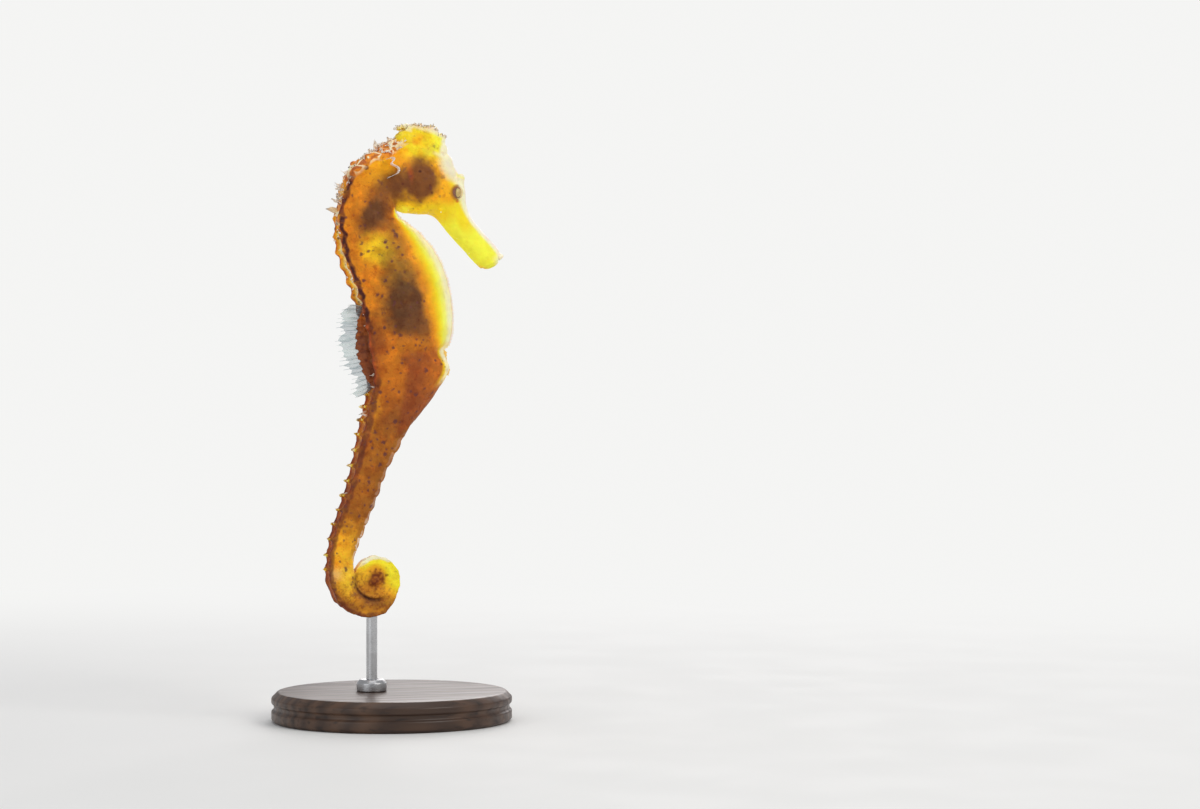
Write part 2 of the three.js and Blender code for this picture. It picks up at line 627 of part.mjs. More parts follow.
// The rod stands on the base, and its top is cut to a saddle that fits the underside of the coil.
function standRod() {
  const [foot, top] = [BASE.height, LIFT + ROD.saddle];
  const bar = new THREE.CylinderGeometry(ROD.radius, ROD.radius, top - foot, ROD.sides);
  bar.rotateX(Math.PI / 2).translate(COIL.centre[0], 0, (top + foot) / 2);
  const coil = plainLength(at("coil"), at("coil") + 180 / COIL.step, 0.25, GAP + ROD.rimRoom);
  return solid(bar).subtract(solid(coil.translate(0, 0, LIFT)));
}

// ---------------------------------------------------------------- the assembled group

const FINISH = {
  skin: { color: 0xd98c1a, roughness: 0.5 },
  snout: { color: 0xf5e02a, roughness: 0.45 },
  belly: { color: 0xe0a020, roughness: 0.5 },
  pouch: { color: 0xa85a20, roughness: 0.5 },
  crown: { color: 0xf0c030, roughness: 0.55 },
  fin: { color: 0xd8dccb, roughness: 0.35 },
  eye: { color: 0x6b5426, roughness: 0.1 },
  wood: { color: 0x2c2018, roughness: 0.45 },
  steel: { color: 0xb8babd, roughness: 0.3, metalness: 1 },
};

function piece(name, made, finish) {
  const mesh = new THREE.Mesh(geometryOf(made), new THREE.MeshStandardMaterial(FINISH[finish]));
  mesh.name = name;
  return mesh;
}

const animal = new THREE.Group();
animal.position.z = LIFT;

const snoutLength = plainLength(moved(at("lips"), GAP / 2), moved(at("cheek front"), -GAP / 2), 0.5);
const finRight = sideFin();

animal.add(
  piece("mouth", mouth(), "snout"),
  piece("snout", solid(snoutLength), "snout"),
  piece("head", head(), "skin"),
  piece("coronet", coronet(), "crown"),
  piece("eye_right", eyeBall(), "eye"),
  piece("eye_left", mirrored(eyeBall()), "eye"),
  piece("side_fin_right", finRight, "fin"),
  piece("side_fin_left", mirrored(finRight), "fin"),
  piece("dorsal_fin", dorsalFin(), "fin"),
  piece("anal_fin", analFin(), "fin"),
  piece("brood_pouch", solid(pouchLength(true)), "pouch"),
  piece("tail_base", withSpines(solid(pouchLength(false)), TRUNK_RINGS, BELOW_POUCH), "skin"),
);

// The ringed lengths of the body: the ring that each starts at, and its name and finish.
const LENGTHS = [
  ["neck", 0, 3, "skin"],
  ["trunk_upper", 3, 6, "belly"],
  ["trunk_middle", 6, 9, "belly"],
  ["trunk_lower", 9, TRUNK_RINGS, "skin"],
  ["tail_upper", BELOW_POUCH, 20, "skin"],
  ["tail_middle", 20, 24, "skin"],
  ["tail_lower", 24, 27, "skin"],
  ["coil_outer", 27, 33, "skin"],
  ["coil_inner", 33, 40, "skin"],
  ["tail_tip", 40, RINGS, "skin"],
];
for (const [name, first, end, finish] of LENGTHS) animal.add(piece(name, ringedLength(first, end), finish));

const stand = new THREE.Group();
stand.add(
  piece("stand_base", standBase(), "wood"),
  piece("stand_collar", standCollar(), "steel"),
  piece("stand_rod", standRod(), "steel"),
);

const seahorse = new THREE.Group();
seahorse.add(animal, stand);

export default seahorse;
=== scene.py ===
"""Looks of a life-size display model: an adult male spotted seahorse on a small turned stand.

Sizes in the classes are millimetres. Heights of the animal are above the underside of its coiled
tail, which stands LIFT above the table. Meshes are scaled to metres as they are made. Places round
the body are counted from the middle of its back, and places along it in sections or millimetres.
"""

import logging
import math
from dataclasses import dataclass
from enum import Enum
from typing import ClassVar

import bpy
import numpy as np
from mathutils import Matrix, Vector, kdtree
from mathutils.bvhtree import BVHTree


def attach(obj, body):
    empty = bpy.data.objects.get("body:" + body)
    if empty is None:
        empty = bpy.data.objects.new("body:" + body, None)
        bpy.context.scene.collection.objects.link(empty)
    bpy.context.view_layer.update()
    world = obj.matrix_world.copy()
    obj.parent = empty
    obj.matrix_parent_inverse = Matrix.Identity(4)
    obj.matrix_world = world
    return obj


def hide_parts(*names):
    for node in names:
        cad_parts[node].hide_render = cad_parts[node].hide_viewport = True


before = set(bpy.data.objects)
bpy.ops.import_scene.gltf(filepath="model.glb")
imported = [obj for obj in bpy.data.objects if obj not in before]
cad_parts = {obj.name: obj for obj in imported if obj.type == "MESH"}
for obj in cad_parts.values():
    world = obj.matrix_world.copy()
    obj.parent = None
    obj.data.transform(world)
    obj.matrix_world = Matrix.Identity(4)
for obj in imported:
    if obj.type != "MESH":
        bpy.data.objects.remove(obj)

LOG = logging.getLogger("seahorse")
MM = 0.001  # metres
LIFT = 21.0  # millimetres from the table to the underside of the coil
ROUND = 16  # positions round the body, counted from the middle of the back
BELLY = 8.0  # the position of the middle of the belly
RIDGE = 2.0  # that of the upper ridge
SIDE_RIDGE = 4.0  # that of the ridge along the flank
FIN_RINGS = range(8, 13)  # the rings that the fin on the back stands on
UP = (0, 0, LIFT)
SIDES = ("right", "left")

Array = np.ndarray
Pair = tuple[float, float]
Triple = tuple[float, float, float]
Piece = bpy.types.Object
Mesh = bpy.types.Mesh
Material = bpy.types.Material
Socket = bpy.types.NodeSocket
Value = Socket | float | Array | tuple[float, ...]  # what an input of a node takes


# ---------------------------------------------------------------- small helpers


def unit(vectors: Array) -> Array:
    """Vectors scaled to length one."""
    return vectors / np.maximum(np.linalg.norm(vectors, axis=-1, keepdims=True), 1e-9)


def ease(value: Array, low: float, high: float) -> Array:
    """A smooth step from 0 at low to 1 at high, which may be the lower of the two."""
    t = np.clip((np.asarray(value, float) - low) / (high - low), 0, 1)
    return t * t * (3 - 2 * t)


def bell(value: Array, middle: float, width: float) -> Array:
    """A bell curve of height one."""
    return np.exp(-(((value - middle) / width) ** 2))


def linear(colour: Triple) -> Array:
    """A screen colour as light, which is what shaders take."""
    c = np.asarray(colour, float)
    return np.where(c <= 0.04045, c / 12.92, ((c + 0.055) / 1.055) ** 2.4)


def spline_weights(places: Array, count: int, closed: bool) -> Array:
    """Catmull-Rom weights of count values at each place.

    Args:
        places: Positions counted in values, shape (m,).
        count: How many values the curve runs through.
        closed: Whether the last value joins the first.

    Returns:
        Weights of shape (m, count).
    """
    places = np.asarray(places, float)
    i = np.floor(places).astype(int)
    if not closed:
        i = np.clip(i, 0, count - 2)
    t = places - i
    shares = (
        (-t + 2 * t**2 - t**3) / 2,
        (2 - 5 * t**2 + 3 * t**3) / 2,
        (t + 4 * t**2 - 3 * t**3) / 2,
        (-(t**2) + t**3) / 2,
    )
    weights = np.zeros((len(places), count))
    for step, share in zip((-1, 0, 1, 2), shares, strict=True):
        at = (i + step) % count if closed else np.clip(i + step, 0, count - 1)
        np.add.at(weights, (np.arange(len(places)), at), share)
    return weights


def noise(points: Array, size: float, seed: int = 0) -> Array:
    """Smooth random values from -1 to 1, the same on each run.

    Args:
        points: Places in millimetres, shape (..., 3).
        size: Millimetres from one random value to the next.
        seed: Picks one of many patterns.

    Returns:
        One value for each place.
    """
    scaled = np.atleast_2d(np.asarray(points, float)) / size
    cell = np.floor(scaled).astype(np.int64)
    part = scaled - cell
    part = part * part * (3 - 2 * part)
    total = np.zeros(scaled.shape[:-1])
    for corner in range(8):
        offset = np.array([corner & 1, corner >> 1 & 1, corner >> 2 & 1])
        x, y, z = np.moveaxis(cell + offset, -1, 0)
        mixed = (x * 73856093 ^ y * 19349663 ^ z * 83492791 ^ (seed + 1) * 2654435761) & 0xFFFFFFFF
        mixed = ((mixed ^ mixed >> 15) * 2246822519) & 0xFFFFFFFF
        mixed = ((mixed ^ mixed >> 13) * 3266489917) & 0xFFFFFFFF
        value = (mixed ^ mixed >> 16) / 2**31 - 1
        total += value * np.prod(np.where(offset == 1, part, 1 - part), axis=-1)
    return total


@dataclass
class Solid:
    """A closed mesh in millimetres."""

    points: Array
    quads: Array
    triangles: Array

    @staticmethod
    def loft(rows: Array, closed_ends: bool = True) -> "Solid":
        """A skin through rows of points, each row a closed loop.

        Args:
            rows: Places of shape (rows, points in a row, 3).
            closed_ends: Whether a fan of triangles closes the first and the last row.

        Returns:
            The closed mesh.
        """
        count, around = rows.shape[:2]
        index = np.arange(count * around).reshape(count, around)
        after = np.roll(index, -1, axis=1)
        quads = np.stack([index[:-1], after[:-1], after[1:], index[1:]], -1).reshape(-1, 4)
        points = rows.reshape(-1, 3)
        triangles = np.zeros((0, 3), int)
        if closed_ends:
            points = np.vstack([points, rows[0].mean(0), rows[-1].mean(0)])
            first, last = len(points) - 2, len(points) - 1
            triangles = np.vstack(
                [
                    np.stack([after[0], index[0], np.full(around, first)], -1),
                    np.stack([index[-1], after[-1], np.full(around, last)], -1),
                ]
            )
        return Solid(points, quads, triangles)

    @staticmethod
    def joined(parts: list["Solid"]) -> "Solid":
        """Several meshes as one, without welding them.

        Args:
            parts: The meshes.

        Returns:
            The one mesh.
        """
        starts = np.cumsum([0] + [len(p.points) for p in parts[:-1]])
        return Solid(
            np.vstack([p.points for p in parts]),
            np.vstack([p.quads + s for p, s in zip(parts, starts, strict=True)]),
            np.vstack([p.triangles + s for p, s in zip(parts, starts, strict=True)]),
        )

    def mirrored(self) -> "Solid":
        """The same mesh on the animal's other side."""
        return Solid(self.points * [1, -1, 1], self.quads[:, ::-1], self.triangles[:, ::-1])

    def to_mesh(self, name: str, scale: float = MM) -> Mesh:
        """Makes a smooth-shaded mesh of it.

        Args:
            name: The mesh's name.
            scale: Metres that a millimetre becomes.

        Returns:
            The new mesh.
        """
        mesh = bpy.data.meshes.new(name)
        mesh.vertices.add(len(self.points))
        mesh.vertices.foreach_set("co", (self.points * scale).astype(np.float32).ravel())
        corners = np.concatenate([self.quads.ravel(), self.triangles.ravel()])
        sizes = np.concatenate([np.full(len(self.quads), 4), np.full(len(self.triangles), 3)])
        mesh.loops.add(len(corners))
        mesh.loops.foreach_set("vertex_index", corners.astype(np.int32))
        mesh.polygons.add(len(sizes))
        starts = np.concatenate([[0], np.cumsum(sizes)[:-1]])
        mesh.polygons.foreach_set("loop_start", starts.astype(np.int32))
        mesh.update(calc_edges=True)
        mesh.validate()
        mesh.polygons.foreach_set("use_smooth", np.ones(len(mesh.polygons), bool))
        return mesh


def tube(
    centres: Array, radii: Array, sides: int, across: Array | None = None, flat: float = 1.0
) -> Solid:
    """A bar along a line of points, round or flattened.

    Args:
        centres: The line, shape (n, 3).
        radii: The bar's radius, or half its width, at each point, shape (n,).
        sides: How many sides it has.
        across: The way of its width, where it is flattened.
        flat: Its thickness as a share of its width.

    Returns:
        The closed mesh.
    """
    way = unit(np.gradient(centres, axis=0))
    upright = np.where(np.abs(way[:, 2:]) > 0.9, [[1, 0, 0]], [[0, 0, 1]])
    side = unit(np.cross(way, upright if across is None else np.cross(across, way)))
    up = np.cross(side, way)
    turn = np.linspace(0, 2 * np.pi, sides, endpoint=False)
    ring = (
        np.cos(turn)[None, :, None] * side[:, None]
        + flat * np.sin(turn)[None, :, None] * up[:, None]
    )
    return Solid.loft(centres[:, None] + ring * np.asarray(radii)[:, None, None])


def ball(middle: Array, radii: Array, tilt: float = 0.0, rows: int = 40) -> Solid:
    """An egg with its long axes along x, y and z, then tilted by some degrees from x towards z.

    Args:
        middle: Its middle.
        radii: Its half lengths along x, y and z.
        tilt: Degrees from x towards z.
        rows: How many rings of points it has.

    Returns:
        The egg.
    """
    lift = np.linspace(-np.pi / 2, np.pi / 2, rows + 2)[1:-1]
    turn = np.linspace(0, 2 * np.pi, 2 * rows, endpoint=False)
    grid = np.stack(
        [
            np.cos(lift)[:, None] * np.cos(turn),
            np.cos(lift)[:, None] * np.sin(turn),
            np.repeat(np.sin(lift)[:, None], len(turn), 1),
        ],
        -1,
    ) * np.asarray(radii)
    c, s = math.cos(math.radians(tilt)), math.sin(math.radians(tilt))
    grid = np.stack(
        [grid[..., 0] * c - grid[..., 2] * s, grid[..., 1], grid[..., 0] * s + grid[..., 2] * c], -1
    )
    return Solid.loft(np.asarray(middle) + grid)


def place_object(mesh: Mesh, material: Material) -> Piece:
    """Links a mesh into the scene under its own name and gives it a material.

    Args:
        mesh: The mesh.
        material: What it is dressed in.

    Returns:
        The new object.
    """
    made = bpy.data.objects.new(mesh.name, mesh)
    bpy.context.scene.collection.objects.link(made)
    mesh.materials.append(material)
    return made


def dressed(made: Piece, slot: str, *nodes: str) -> Piece:
    """Hangs a finished piece on the model's one body.

    Args:
        made: The piece.
        slot: The name of a material slot; not used.
        nodes: The solids that it stands for.

    Returns:
        The same piece.
    """
    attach(made, "root")
    if nodes:
        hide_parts(*nodes)
    return made


def write_numbers(mesh: Mesh, name: str, values: Array) -> None:
    """Stores one number, or one colour, for each point of a mesh.

    Args:
        mesh: The mesh.
        name: The name that a material reads them by.
        values: One number or one colour a point.
    """
    if values.ndim == 1:
        layer = mesh.attributes.new(name, "FLOAT", "POINT")
        layer.data.foreach_set("value", values.astype(np.float32))
    else:
        layer = mesh.attributes.new(name, "FLOAT_COLOR", "POINT")
        full = np.concatenate([values, np.ones((len(values), 1))], 1)
        layer.data.foreach_set("color", full.astype(np.float32).ravel())


def read_points(mesh: Mesh) -> Array:
    """The places of a mesh's points.

    Args:
        mesh: The mesh.

    Returns:
        One row a point.
    """
    flat = np.empty(len(mesh.vertices) * 3, np.float32)
    mesh.vertices.foreach_get("co", flat)
    return flat.reshape(-1, 3).astype(float)


def read_corners(mesh: Mesh) -> Array:
    """The point at each face corner.

    Args:
        mesh: The mesh.

    Returns:
        One number a corner.
    """
    flat = np.empty(len(mesh.loops), np.int32)
    mesh.loops.foreach_get("vertex_index", flat)
    return flat


# ---------------------------------------------------------------- the body's shape


class Form(Enum):
    """Half sections from back to belly, as shares of the body's half depth and half width."""

    SNOUT = tuple((math.cos(math.pi * i / 8), math.sin(math.pi * i / 8)) for i in range(9))
    HEAD = (
        (1, 0), (0.94, 0.32), (0.76, 0.6), (0.46, 0.83), (0.08, 0.98),
        (-0.32, 1), (-0.67, 0.78), (-0.9, 0.42), (-1, 0),
    )
    NECK = (
        (0.93, 0), (0.98, 0.3), (0.97, 0.58), (0.58, 0.84), (0.12, 1),
        (-0.3, 0.97), (-0.66, 0.76), (-0.9, 0.42), (-1, 0),
    )
    TRUNK = (
        (0.9, 0), (0.95, 0.28), (1, 0.52), (0.62, 0.82), (0.2, 1),
        (-0.22, 0.94), (-0.6, 0.7), (-0.86, 0.36), (-1, 0),
    )
    POUCH = (
        (0.9, 0), (0.95, 0.36), (1, 0.66), (0.58, 0.88), (0.16, 1),
        (-0.28, 0.98), (-0.66, 0.82), (-0.91, 0.5), (-1, 0),
    )
    TAIL = (
        (0.88, 0), (0.93, 0.42), (1, 0.86), (0.5, 0.93), (0, 0.97),
        (-0.5, 0.92), (-1, 0.78), (-0.96, 0.4), (-0.93, 0),
    )


@dataclass(frozen=True)
class Station:
    """One section of the body: its back and belly, half its width, its frill and its form."""

    name: str
    back: Pair
    belly: Pair
    half: float
    frill: float
    form: Form
    side: float = 0.0


def sections(form: Form, *rows: tuple) -> tuple[Station, ...]:
    """Sections of one form, each from its name, back, belly, half width and frill."""
    return tuple(Station(*row, form) for row in rows)


OUTLINE = (
    *sections(
        Form.SNOUT,
        ("mouth", (22.9, 72.1), (18.5, 69.7), 2.05, 0),
        ("lips", (21.7, 73.9), (17.1, 70.9), 2, 0),
        ("snout", (18.5, 77.3), (14, 74.1), 1.85, 0),
        ("snout root", (16.1, 80.2), (11.1, 77.2), 2.2, 0),
    ),
    *sections(
        Form.HEAD,
        ("cheek front", (15.3, 82.6), (9.4, 79.3), 2.9, 0),
        ("eye", (15.1, 84.9), (7.7, 80.3), 3.7, 0),
        ("brow", (14.6, 87.1), (5.8, 80.3), 4.2, 0),
        ("forehead", (13.1, 89.5), (4.1, 80.4), 4.4, 0),
        ("crown front", (11.9, 91.9), (2.9, 80.5), 4.3, 0),
        ("crown", (9.4, 93.9), (2, 80.6), 4.3, 0),
        ("crown top", (5.6, 94.6), (1.2, 80.9), 4.4, 0.1),
        ("crown back", (2.1, 94.5), (0.7, 81.1), 4.4, 0.9),
        ("nape", (-1.2, 93.2), (0.5, 81.2), 4.2, 1.7),
    ),
    *sections(
        Form.NECK,
        ("gill opening", (-4.5, 91.1), (0.4, 81.1), 3.9, 2),
        ("neck back", (-7.3, 88.4), (0.6, 80.7), 3.9, 2),
        ("neck", (-9.5, 84.8), (1, 80), 4.1, 1.9),
    ),
    *sections(
        Form.TRUNK,
        ("shoulder", (-10.7, 80.4), (2.2, 79), 4.5, 1.3),
        ("chest", (-10.7, 75.5), (6, 76.3), 5.2, 0.8),
        ("chest foot", (-9.6, 70.7), (9.7, 71.6), 5.8, 0.5),
        ("belly", (-7.5, 65.3), (11.8, 65.9), 6, 0.3),
        ("belly swell", (-6, 60.3), (12.6, 60.1), 5.8, 0.3),
        ("belly foot", (-5.2, 55.9), (12.2, 55.3), 5.3, 0.3),
        ("vent", (-4.6, 52.4), (10.7, 52.8), 4.8, 0.3),
    ),
    *sections(
        Form.POUCH,
        ("pouch", (-4.1, 49), (11.6, 49.4), 4.7, 0.2),
        ("pouch swell", (-4.1, 45.5), (9.6, 45.7), 4.4, 0.2),
        ("pouch foot", (-4.9, 42), (5.9, 40.6), 3.9, 0.2),
    ),
    *sections(
        Form.TAIL,
        ("tail top", (-6.1, 37.3), (1.3, 35), 3.4, 0.2),
        ("tail upper", (-7.4, 31.3), (-1.7, 29.2), 3, 0.2),
        ("tail middle", (-8.9, 25.3), (-3.8, 23.4), 2.7, 0.2),
        ("tail lower", (-10.7, 20.2), (-5.8, 18.5), 2.5, 0.2),
        ("tail bend", (-12.2, 15.4), (-7.4, 14.2), 2.35, 0.2),
        ("tail foot", (-12.85, 11.1), (-8.3, 10.8), 2.2, 0.2),
    ),
)


@dataclass(frozen=True)
class Coil:
    """The tail's coil, a spiral that shrinks by the same share each quarter turn."""

    centre: Pair = (-4.15, 7.2)
    outer_under: float = 7.1
    quarter_shrink: float = 0.81
    last_angle: int = 990
    step: int = 30
    side_drift: float = 1.1
    overlap: float = 0.12  # the turns press on each other by this much
    disc: ClassVar[Pair] = (-2.9, 7.86)  # middle of the coil's round face

    def outer(self, angle: float) -> float:
        """Distance from the centre to the coil's outer edge at an angle in degrees."""
        return self.outer_under * self.quarter_shrink ** (angle / 90 - 1)

    def stations(self) -> list[Station]:
        """The coil's sections, from the side where the tail comes down to the tip.

        Returns:
            The sections in order.
        """
        made = []
        for angle in range(0, self.last_angle + 1, self.step):
            turn = math.radians(angle)
            outer = self.outer(angle)
            inner = max(self.outer(angle + 360) - self.overlap, 0.12)
            back, belly = (
                (self.centre[0] - math.cos(turn) * r, self.centre[1] - math.sin(turn) * r)
                for r in (outer, inner)
            )
            half = (outer - inner) / 2
            side = -self.side_drift * float(ease(angle, 130, 640))
            made.append(Station("coil", back, belly, half, 0.05, Form.TAIL, side))
        return made


@dataclass
class Place:
    """Places on or near the body: their points, length along it and position round it."""

    points: Array
    length: Array
    round: Array
    raised: Array | float = 0.0  # how far each stands off the body's own surface

    @property
    def fold(self) -> Array:
        """Position round the body from 0 on the back to 8 on the belly, the same on both sides."""
        return np.minimum(self.round, ROUND - self.round)


class Body:
    """The animal's body as a smooth tube, with the bony rings that it is divided into."""

    trunk_rings = 11
    tail_rings = 37
    first_to_last = 3.0
    crest_at = 0.55
    frill_share = 0.12
    arc_step = 0.5

    def __init__(self) -> None:
        """Reads the sections and measures the body's length, girth and rings."""
        self.stations = [*OUTLINE, *Coil().stations()]
        self.last = len(self.stations) - 1
        self.bare = self._net(self.frill_share)
        self.full = self._net(1.0)
        fine = np.linspace(0, self.last, self.last * 20 + 1)
        middle = self.middle(fine, self.full)
        steps = np.linalg.norm(np.diff(middle, axis=0), axis=1)
        self._fine, self._length = fine, np.concatenate([[0], np.cumsum(steps)])
        neck, vent = (self.length_of(n) for n in ("gill opening", "vent"))
        trunk = np.linspace(neck, vent, self.trunk_rings, endpoint=False)
        weights = np.linspace(self.first_to_last, 1, self.tail_rings)
        tail = (
            vent + np.concatenate([[0], np.cumsum(weights)]) / weights.sum() * (self.total - vent)
        )
        self.ring_starts = np.concatenate([trunk, tail])
        rows = self.place_at(np.arange(0, self.total + self.arc_step, self.arc_step))
        steps = np.linalg.norm(np.diff(self.grid(rows, np.linspace(0, BELLY, 81)), axis=1), axis=2)
        self._arcs = np.concatenate([np.zeros((len(rows), 1)), np.cumsum(steps, 1)], 1)

    @property
    def total(self) -> float:
        """The body's whole length."""
        return float(self._length[-1])

    def _net(self, frill_share: float) -> Array:
        """Sixteen control points for each section, with a share of the frill.

        Args:
            frill_share: How much of the frill the points carry.

        Returns:
            The points, shape (sections, places round, 3).
        """
        rows = []
        sign = np.array([-1.0] * 9 + [1.0] * 7)
        for s in self.stations:
            half = np.array(s.form.value)
            shares = np.vstack([half, half[7:0:-1]])
            back, belly = (np.array([p[0], s.side, p[1] + LIFT]) for p in (s.back, s.belly))
            upward = unit(back - belly)
            depth = np.linalg.norm(back - belly) / 2
            rise = shares[:, 0] * depth + frill_share * s.frill * np.maximum(0, shares[:, 0]) ** 4
            points = (back + belly) / 2 + rise[:, None] * upward
            points[:, 1] += sign * shares[:, 1] * s.half
            rows.append(points)
        return np.array(rows)

    def named(self, name: str) -> float:
        """The place of the first section of that name, counted in sections."""
        return float(next(i for i, s in enumerate(self.stations) if s.name == name))

    def length_of(self, name: str) -> float:
        """Length along the body up to the first section of that name."""
        return float(self.length_at(self.named(name)))

    def grid(self, places: Array, around: Array, net: Array | None = None) -> Array:
        """Points of the body's surface.

        Args:
            places: Positions along the body, counted in sections, shape (m,).
            around: Positions round it, from 0 on the back through 8 on the belly to 16, shape (q,).
            net: The control points, by default those of the bare skin.

        Returns:
            Points of shape (m, q, 3).
        """
        net = self.bare if net is None else net
        along = spline_weights(places, len(self.stations), closed=False)
        across = spline_weights(around, ROUND, closed=True)
        return np.einsum("mi,qk,ikx->mqx", along, across, net, optimize=True)

    def middle(self, places: Array, net: Array | None = None) -> Array:
        """Points of the body's middle line."""
        return self.grid(places, np.array([0.0, BELLY]), net).mean(1)

    def length_at(self, place: Array | float) -> Array:
        """Length along the body up to a place counted in sections."""
        return np.interp(place, self._fine, self._length)

    def place_at(self, length: Array | float) -> Array:
        """The place, counted in sections, at a length along the body."""
        return np.interp(length, self._length, self._fine)

    def from_back(self, length: Array, fold: Array | float) -> Array:
        """Millimetres over the skin from the middle of the back to a place round the body.

        Args:
            length: Place along the body.
            fold: Place round the body.

        Returns:
            The distance at each place.
        """
        row = np.clip(np.asarray(length) / self.arc_step, 0, len(self._arcs) - 1.001)
        column = np.clip(np.asarray(fold) * 10 + 0 * row, 0, 79.999)
        i, j = row.astype(int), column.astype(int)
        a, b = row - i, column - j
        near = self._arcs[i, j] * (1 - b) + self._arcs[i, j + 1] * b
        far = self._arcs[i + 1, j] * (1 - b) + self._arcs[i + 1, j + 1] * b
        return near * (1 - a) + far * a

    def from_line(self, at: "Place", around: float) -> Array:
        """Millimetres, seen from the side, to the body's line at a position round it.

        Args:
            at: Where on the body the points lie.
            around: The position round the body.

        Returns:
            The distance at each place.
        """
        rows = np.arange(0, self.total, self.arc_step)
        line = self.grid(self.place_at(rows), np.array([around]))[:, 0]
        x, z = (np.interp(at.length, rows, line[:, i]) for i in (0, 2))
        return np.hypot(at.points[:, 0] - x, at.points[:, 2] - z)

    def table(self, length: Array, rows: tuple[tuple[str, float], ...]) -> Array:
        """Values given at named sections, filled in between them.

        Args:
            length: Place along the body.
            rows: The sections' names, with their values.

        Returns:
            The value at each place.
        """
        return np.interp(
            length, [self.length_of(name) for name, _ in rows], [value for _, value in rows]
        )

    def ring_at(self, length: Array) -> tuple[Array, Array]:
        """The ring at each length, -1 ahead of the first, and the share of it that lies before.

        Args:
            length: Place along the body.

        Returns:
            The ring and the share of it.
        """
        ring = np.searchsorted(self.ring_starts, length, side="right") - 1
        inside = np.clip(ring, 0, len(self.ring_starts) - 2)
        start, end = self.ring_starts[inside], self.ring_starts[inside + 1]
        share = np.clip((length - start) / (end - start), 0, 1)
        return np.minimum(ring, len(self.ring_starts) - 2), share

    def crest(self, ring: float) -> float:
        """Length along the body at a ring's crest.

        Args:
            ring: The ring, counted from the head.

        Returns:
            The length.
        """
        low = int(ring)
        start, end = self.ring_starts[low], self.ring_starts[low + 1]
        return float(start + (end - start) * (self.crest_at + ring - low))

    def spot(
        self, length: float, around: float, net: Array | None = None
    ) -> tuple[Array, Array, Array]:
        """A point of the surface, with the directions out of it and along it.

        Args:
            length: Place along the body.
            around: Place round the body.
            net: The control points to take it from.

        Returns:
            The point, the way out and the way along.
        """
        places = self.place_at(np.array([length - 0.3, length, length + 0.3]))
        rows = self.grid(places, np.array([around - 0.2, around, around + 0.2]) % ROUND, net)
        along = unit(rows[2, 1] - rows[0, 1])
        out = unit(np.cross(rows[1, 2] - rows[1, 0], along))
        if out @ (rows[1, 1] - self.middle(places[1:2], net)[0]) < 0:
            out = -out
        return rows[1, 1], out, along


